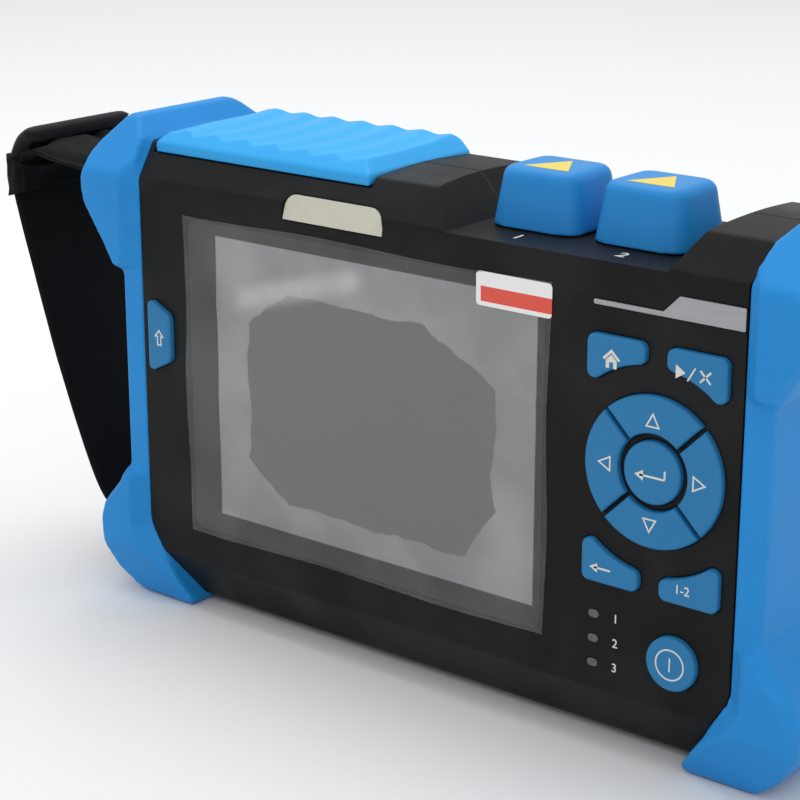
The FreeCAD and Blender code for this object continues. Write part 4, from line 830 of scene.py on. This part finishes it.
# --- hand strap ----------------------------------------------------------------------------------
# A padded band of black neoprene faced with knitted nylon. Its lower end loops round a pin, and its
# free upper edge stands over a gathered cuff that takes in the webbing from the upper pin.
def knitted_nylon(name, shade, sheen):
    """Fine knit that follows the cloth, with fluff and a little lint on it."""
    finish = Finish(name)
    cloth = finish.node("ShaderNodeUVMap", {"uv_map": "cloth"})
    along = finish.node("ShaderNodeSeparateXYZ", None, {0: cloth}, 0)
    across = finish.node("ShaderNodeSeparateXYZ", None, {0: cloth}, 1)
    stitch_along, stitch_across = 0.0009, 0.0007
    knit = ((along * (2 * math.pi / stitch_along)).sine()
            * (across * (2 * math.pi / stitch_across)).sine() * 0.5 + 0.5)
    fluff = finish.noise(0.0035, 4.0, 0.65)
    lint = finish.noise(0.0009, 4.0, 0.7).ramp(0.68, 0.76)
    tone = finish.tint(knit * 0.4 + fluff * 0.4 + lint * 0.5, dimmed(shade, 0.4), colour(*shade))
    return finish.surface(Base_Color=tone, Roughness=0.78 + 0.12 * fluff, Specular_IOR_Level=0.12,
                          Sheen_Weight=sheen, Sheen_Roughness=0.5, Normal=finish.bump(knit + fluff, 0.00005))


strap_cloth = knitted_nylon("strap_cloth", (0.0060, 0.0060, 0.0066), 0.03)
strap_tape = knitted_nylon("strap_tape", (0.020, 0.020, 0.021), 0.10)

pins_low, pins_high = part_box("strap_pins")
pin_radius = 0.0015
lower_pin = Vector((pins_high.x - pin_radius, 0, pins_low.z + pin_radius))
upper_pin = Vector((pins_low.x + pin_radius, 0, pins_high.z - pin_radius))
strap_low, strap_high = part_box("hand_strap")
strap_width = strap_high.y - strap_low.y
strap_middle = (strap_high.y + strap_low.y) / 2
loop_radius = 0.0028
tape_width = 0.0040


def from_pin(pin, steps):
    """Points of a route, given in millimetres from a pin."""
    return [pin + Vector((x, 0, z)) / 1000 for x, z in steps]


def round_pin(pin):
    """Start of a route: in under a pin, round its inner side and out over it."""
    tail = from_pin(pin, [(-10.0, -1.9), (-4.5, -2.6)])
    turn = [pin + loop_radius * Vector((math.cos(angle), 0, math.sin(angle)))
            for angle in (-1.35, -0.6, 0.2, 1.0)]
    return tail + turn


def smooth_line(points, spacing, steps=24):
    """Evenly spaced points on a smooth curve through a few."""
    padded = [points[0] * 2 - points[1]] + points + [points[-1] * 2 - points[-2]]
    dense = [points[0]]
    for a, b, c, d in zip(padded, padded[1:], padded[2:], padded[3:]):
        for i in range(1, steps + 1):
            t = i / steps
            dense.append(0.5 * (2 * b + (c - a) * t + (2 * a - 5 * b + 4 * c - d) * t ** 2
                                + (3 * b - a - 3 * c + d) * t ** 3))
    even = [dense[0]]
    for point in dense:
        if (point - even[-1]).length >= spacing:
            even.append(point)
    return even


def smooth_step(value, low, high):
    """0 below one value, 1 above the other, and smooth between them."""
    share = min(1.0, max(0.0, (value - low) / (high - low)))
    return share * share * (3 - 2 * share)


def signed_power(value, exponent):
    """Power of a value's size, with the value's own sign."""
    return math.copysign(abs(value) ** exponent, value)


def square_to(line, i):
    """Direction square to a line at one of its points."""
    along = (line[min(i + 1, len(line) - 1)] - line[max(i - 1, 0)]).normalized()
    return Vector((-along.z, 0, along.x))


end_round = 0.0011
edge_squareness = 14
edge_crowding = 0.8
end_share = 0.15


def soft_band(name, line, half_thick, relief, columns=44):
    """Closed soft band along a line. half_thick is a function of the distance along; relief, of that
    distance, the place across from -1 to 1 and the side, lifts either face."""
    bm = bmesh.new()
    cloth = bm.loops.layers.uv.new("cloth")
    rows = []
    lengths = [0.0]
    for before, after in zip(line, line[1:]):
        lengths.append(lengths[-1] + (after - before).length)
    places = {}
    for i, (middle, run) in enumerate(zip(line, lengths)):
        outward = square_to(line, i)
        from_end = min(run, lengths[-1] - run)
        end = math.sqrt(max(0.0, 1 - max(0.0, 1 - from_end / end_round) ** 2))
        row = []
        for side in (1, -1):
            for k in range(columns + 1):
                across = signed_power(side * (2 * k / columns - 1), edge_crowding)
                edge = math.sqrt(max(0.0, 1 - abs(across) ** edge_squareness))
                lift = half_thick(run) * edge + relief(run, across, side) * min(1.0, 3 * edge)
                offset = outward * side * lift * (end_share + (1 - end_share) * end)
                place = middle + offset + Vector((0, strap_middle + across * strap_width / 2, 0))
                if k in (0, columns) and side == -1:
                    row.append(row[columns if k == 0 else 0])
                    continue
                vert = bm.verts.new(place)
                places[vert] = (run, across * strap_width / 2)
                row.append(vert)
        rows.append(row)
    count = len(rows[0])
    for first, second in zip(rows, rows[1:]):
        for k in range(count - 1):
            corners = [first[k], first[k + 1], second[k + 1], second[k]]
            if len(set(corners)) == 4:
                bm.faces.new(corners)
    for row in (rows[0], rows[-1]):
        for k in range(columns):
            corners = [row[k], row[k + 1], row[2 * columns - k], row[2 * columns + 1 - k]]
            unique = list(dict.fromkeys(corners))
            if len(unique) > 2:
                bm.faces.new(unique)
    bmesh.ops.recalc_face_normals(bm, faces=bm.faces)
    for face in bm.faces:
        for loop in face.loops:
            loop[cloth].uv = places[loop.vert]
    mesh = bpy.data.meshes.new(name)
    bm.to_mesh(mesh)
    bm.free()
    mesh.shade_smooth()
    return mesh


line_spacing = 0.0009
pad_route = round_pin(lower_pin)
pad_route += from_pin(lower_pin, [(-3.0, 3.0), (-13.0, 4.6), (-21.0, 18.0), (-31.5, 44.0)])
pad_route += from_pin(upper_pin, [(-39.0, -31.5), (-46.5, -7.0), (-48.0, 3.0), (-44.5, 11.0), (-39.0, 15.0)])
pad_line = smooth_line(pad_route, line_spacing)
pad_length = sum((after - before).length for before, after in zip(pad_line, pad_line[1:]))
webbing_half_thick = 0.0008
padding_half_thick = 0.0008
tape_share = 1 - 2 * tape_width / strap_width
tape_start = pad_length - 0.024
tape_fade = 0.012
end_tape = pad_length - tape_width


def pad_half_thick(run):
    """The pad is plain webbing where it loops round the pin, and thicker above that."""
    return webbing_half_thick + padding_half_thick * smooth_step(run, 0.016, 0.034)


def taped(run, across):
    """How far a place on the pad is under the binding of its upper end, from 0 to 1."""
    edge = smooth_step(abs(across), tape_share - tape_fade, tape_share + tape_fade)
    return max(edge * smooth_step(run, tape_start, tape_start + 0.002),
               smooth_step(run, end_tape - 0.0002, end_tape + 0.0002))


tape_height = 0.0005
swell_height = 0.0006
pad_crease_height = 0.00022
end_fold_height = 0.0013


def pad_relief(run, across, side):
    """Binding, padding and the creases of the pad; they are deepest inside its upper end."""
    tape = taped(run, across)
    padding = swell_height * (1 - across ** 2) * smooth_step(run, 0.030, 0.045)
    creases = noise.noise(Vector((run * 60 + across * 1.5, across * 2.2, 5.0 * side)))
    top = smooth_step(run, tape_start, tape_start + 0.010)
    folds = noise.noise(Vector((run * 190 - across * 2.6, across * 1.3 + 4.0, 2.0))) * (side < 0)
    bare = padding + pad_crease_height * creases + end_fold_height * top * folds
    return tape_height * tape + (1 - tape) * bare


pad = shown("strap_pad", soft_band("strap_pad", pad_line, pad_half_thick, pad_relief), strap_cloth)
pad.data.materials.append(strap_tape)
cloth_places = pad.data.uv_layers["cloth"].data
for face in pad.data.polygons:
    corners = [cloth_places[corner].uv for corner in face.loop_indices]
    middle = sum(corners, Vector((0, 0))) / len(corners)
    if taped(middle.x, 2 * middle.y / strap_width) > 0.5:
        face.material_index = 1

webbing_route = round_pin(upper_pin)
webbing_route += from_pin(upper_pin, [(-3.5, 3.2), (-15.0, 5.4), (-29.0, 8.2), (-37.5, 9.6),
                                      (-42.6, 8.0), (-44.6, 3.0), (-44.8, -4.0)])
webbing_line = smooth_line(webbing_route, line_spacing)
webbing_fold_height = 0.0011
webbing_ripple_height = 0.0008


def webbing_relief(run, across, side):
    """Creases that gather the webbing towards the cuff; both faces move together."""
    gather = smooth_step(run, 0.022, 0.045)
    wander = noise.noise(Vector((run * 30, across * 1.2, 7.0)))
    folds = math.sin(across * 7.0 + 9.0 * wander)
    ripple = noise.noise(Vector((run * 80, across * 3.0, 1.0)))
    return side * gather * (webbing_fold_height * folds + webbing_ripple_height * ripple)


webbing_mesh = soft_band("strap_webbing", webbing_line, lambda run: webbing_half_thick, webbing_relief)
webbing = shown("strap_webbing", webbing_mesh, strap_cloth)

cuff_foot = upper_pin.z - 0.0060
cuff_top = upper_pin.z + 0.0052
cuff_around = 96
cuff_wall = 0.0011
cuff_half_width = strap_width / 2 + 0.0012
cuff_half_depth = 0.0048
cuff_inward = 0.0019
hem_height = 0.0006
cuff_pucker_height = 0.0007


def cuff_ring(i, share, inner):
    """One ring of the cuff at a point of the pad's line, set in from the outside by a distance."""
    outward = square_to(pad_line, i)
    hem = bell(share, 0.10) + bell(1 - share, 0.13)
    ring = []
    for k in range(cuff_around):
        angle = 2 * math.pi * k / cuff_around
        pucker = noise.noise(Vector((math.cos(angle) * 4.0, math.sin(angle) * 4.0, share * 1.6)))
        swell = hem_height * hem + cuff_pucker_height * pucker * (1 - inner / cuff_wall) - inner
        y = signed_power(math.cos(angle), 0.30) * (cuff_half_width + swell)
        depth = signed_power(math.sin(angle), 0.55) * (cuff_half_depth + swell)
        ring.append(pad_line[i] + outward * (depth - cuff_inward) + Vector((0, strap_middle + y, 0)))
    return ring


def cuff_mesh():
    """Gathered tube round the pad and the webbing, with a rolled hem at either end."""
    upper_half = range(len(pad_line) // 2 + 1, len(pad_line))
    start = next(i for i in upper_half if pad_line[i].z > cuff_foot)
    stop = next(i for i in upper_half if i > start and pad_line[i].z > cuff_top)
    outer, lining = [[cuff_ring(i, (i - start) / (stop - start), inner) for i in range(start, stop + 1)]
                     for inner in (0.0, cuff_wall)]
    around = cuff_around
    rings = outer + lining[::-1]
    points = [point for row in rings for point in row]
    faces = []
    for i in range(len(rings)):
        following = (i + 1) % len(rings)
        for k in range(around):
            faces.append((i * around + k, i * around + (k + 1) % around,
                          following * around + (k + 1) % around, following * around + k))
    mesh = bpy.data.meshes.new("strap_cuff")
    mesh.from_pydata(points, [], faces)
    bm = bmesh.new()
    bm.from_mesh(mesh)
    bmesh.ops.recalc_face_normals(bm, faces=bm.faces)
    cloth = bm.loops.layers.uv.new("cloth")
    for face in bm.faces:
        for loop in face.loops:
            loop[cloth].uv = (loop.vert.co.z, loop.vert.co.y)
    bm.to_mesh(mesh)
    bm.free()
    mesh.shade_smooth()
    return mesh


cuff = shown("strap_cuff", cuff_mesh(), strap_cloth)


def stitch_tree():
    """Geometry nodes that set small stitches along the edges of a mesh."""
    tree = bpy.data.node_groups.new("stitches", "GeometryNodeTree")
    sockets = {}
    for name, kind in (("Seam", "NodeSocketGeometry"), ("Pitch", "NodeSocketFloat"),
                       ("Length", "NodeSocketFloat"), ("Thickness", "NodeSocketFloat"),
                       ("Thread", "NodeSocketMaterial")):
        sockets[name] = tree.interface.new_socket(name=name, in_out="INPUT", socket_type=kind).identifier
    tree.interface.new_socket(name="Stitches", in_out="OUTPUT", socket_type="NodeSocketGeometry")
    given = tree.nodes.new("NodeGroupInput").outputs

    def add(kind, settings, links):
        """Adds a node with its settings and the values or links of its sockets."""
        made = tree.nodes.new(kind)
        for name, value in settings.items():
            setattr(made, name, value)
        for name, value in links.items():
            if isinstance(value, bpy.types.NodeSocket):
                tree.links.new(value, made.inputs[name])
            else:
                made.inputs[name].default_value = value
        return made.outputs[0] if made.outputs else None

    curve = add("GeometryNodeMeshToCurve", {}, {"Mesh": given["Seam"]})
    spots = add("GeometryNodeResampleCurve", {"mode": "LENGTH"},
                {"Curve": curve, "Length": given["Pitch"]})
    size = add("ShaderNodeCombineXYZ", {},
               {0: given["Length"], 1: given["Thickness"], 2: given["Thickness"]})
    ball = add("GeometryNodeMeshIcoSphere", {}, {"Radius": 0.5, "Subdivisions": 1})
    stitch = add("GeometryNodeTransform", {}, {"Geometry": ball, "Scale": size})
    tangent = add("GeometryNodeInputTangent", {}, {})
    turn = add("FunctionNodeAlignRotationToVector", {"axis": "X"}, {"Vector": tangent})
    placed = add("GeometryNodeInstanceOnPoints", {},
                 {"Points": spots, "Instance": stitch, "Rotation": turn})
    real = add("GeometryNodeRealizeInstances", {}, {"Geometry": placed})
    shaded = add("GeometryNodeSetMaterial", {}, {"Geometry": real, "Material": given["Thread"]})
    add("NodeGroupOutput", {}, {"Stitches": shaded})
    return tree, sockets


stitch_sizes = {"Pitch": 0.0030, "Length": 0.0021, "Thickness": 0.00042}


def sewn(name, seams, thread):
    """Stitches along seams, each a list of points on the cloth."""
    seam_mesh = bpy.data.meshes.new(name + "_seams")
    points = []
    edges = []
    for seam in seams:
        edges += [(len(points) + i, len(points) + i + 1) for i in range(len(seam) - 1)]
        points += seam
    seam_mesh.from_pydata(points, edges, [])
    carrier = shown(name, seam_mesh)
    tree, sockets = stitch_tree()
    modifier = carrier.modifiers.new("stitches", "NODES")
    modifier.node_group = tree
    for label, value in {**stitch_sizes, "Thread": thread}.items():
        modifier[sockets[label]] = value
    mesh = plain_mesh(carrier)
    mesh.shade_smooth()
    return shown(name, mesh, thread)


def thread_finish():
    finish = Finish("thread")
    ply = finish.noise(0.0004, 2.0)
    tone = finish.tint(ply, colour(0.012, 0.012, 0.013), colour(0.034, 0.034, 0.036))
    return finish.surface(Base_Color=tone, Roughness=0.6, Specular_IOR_Level=0.3)


def pad_run(i):
    """Distance along the pad of a point of its line."""
    return pad_length * i / (len(pad_line) - 1)


def pad_point(i, across, side):
    """Point on a face of the pad."""
    outward = square_to(pad_line, i)
    lift = pad_half_thick(pad_run(i)) + pad_relief(pad_run(i), across, side)
    return pad_line[i] + outward * side * lift + Vector((0, strap_middle + across * strap_width / 2, 0))


# The seams run in the tape, up both edges of the pad's upper end and across it.
seam_share = tape_share + 0.035
seam_steps = 20
first = next(i for i in range(len(pad_line)) if pad_run(i) > tape_start + 0.003)
last = len(pad_line) - 4
seams = []
for side in (-1, 1):
    for share in (-seam_share, seam_share):
        seams.append([pad_point(i, share, side) for i in range(first, last + 1)])
    seams.append([pad_point(last, step / seam_steps * seam_share, side)
                  for step in range(-seam_steps, seam_steps + 1)])
stitches = sewn("strap_stitches", seams, thread_finish())

for piece in (pad, webbing, cuff, stitches):
    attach(piece, "housing")
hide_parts("hand_strap")
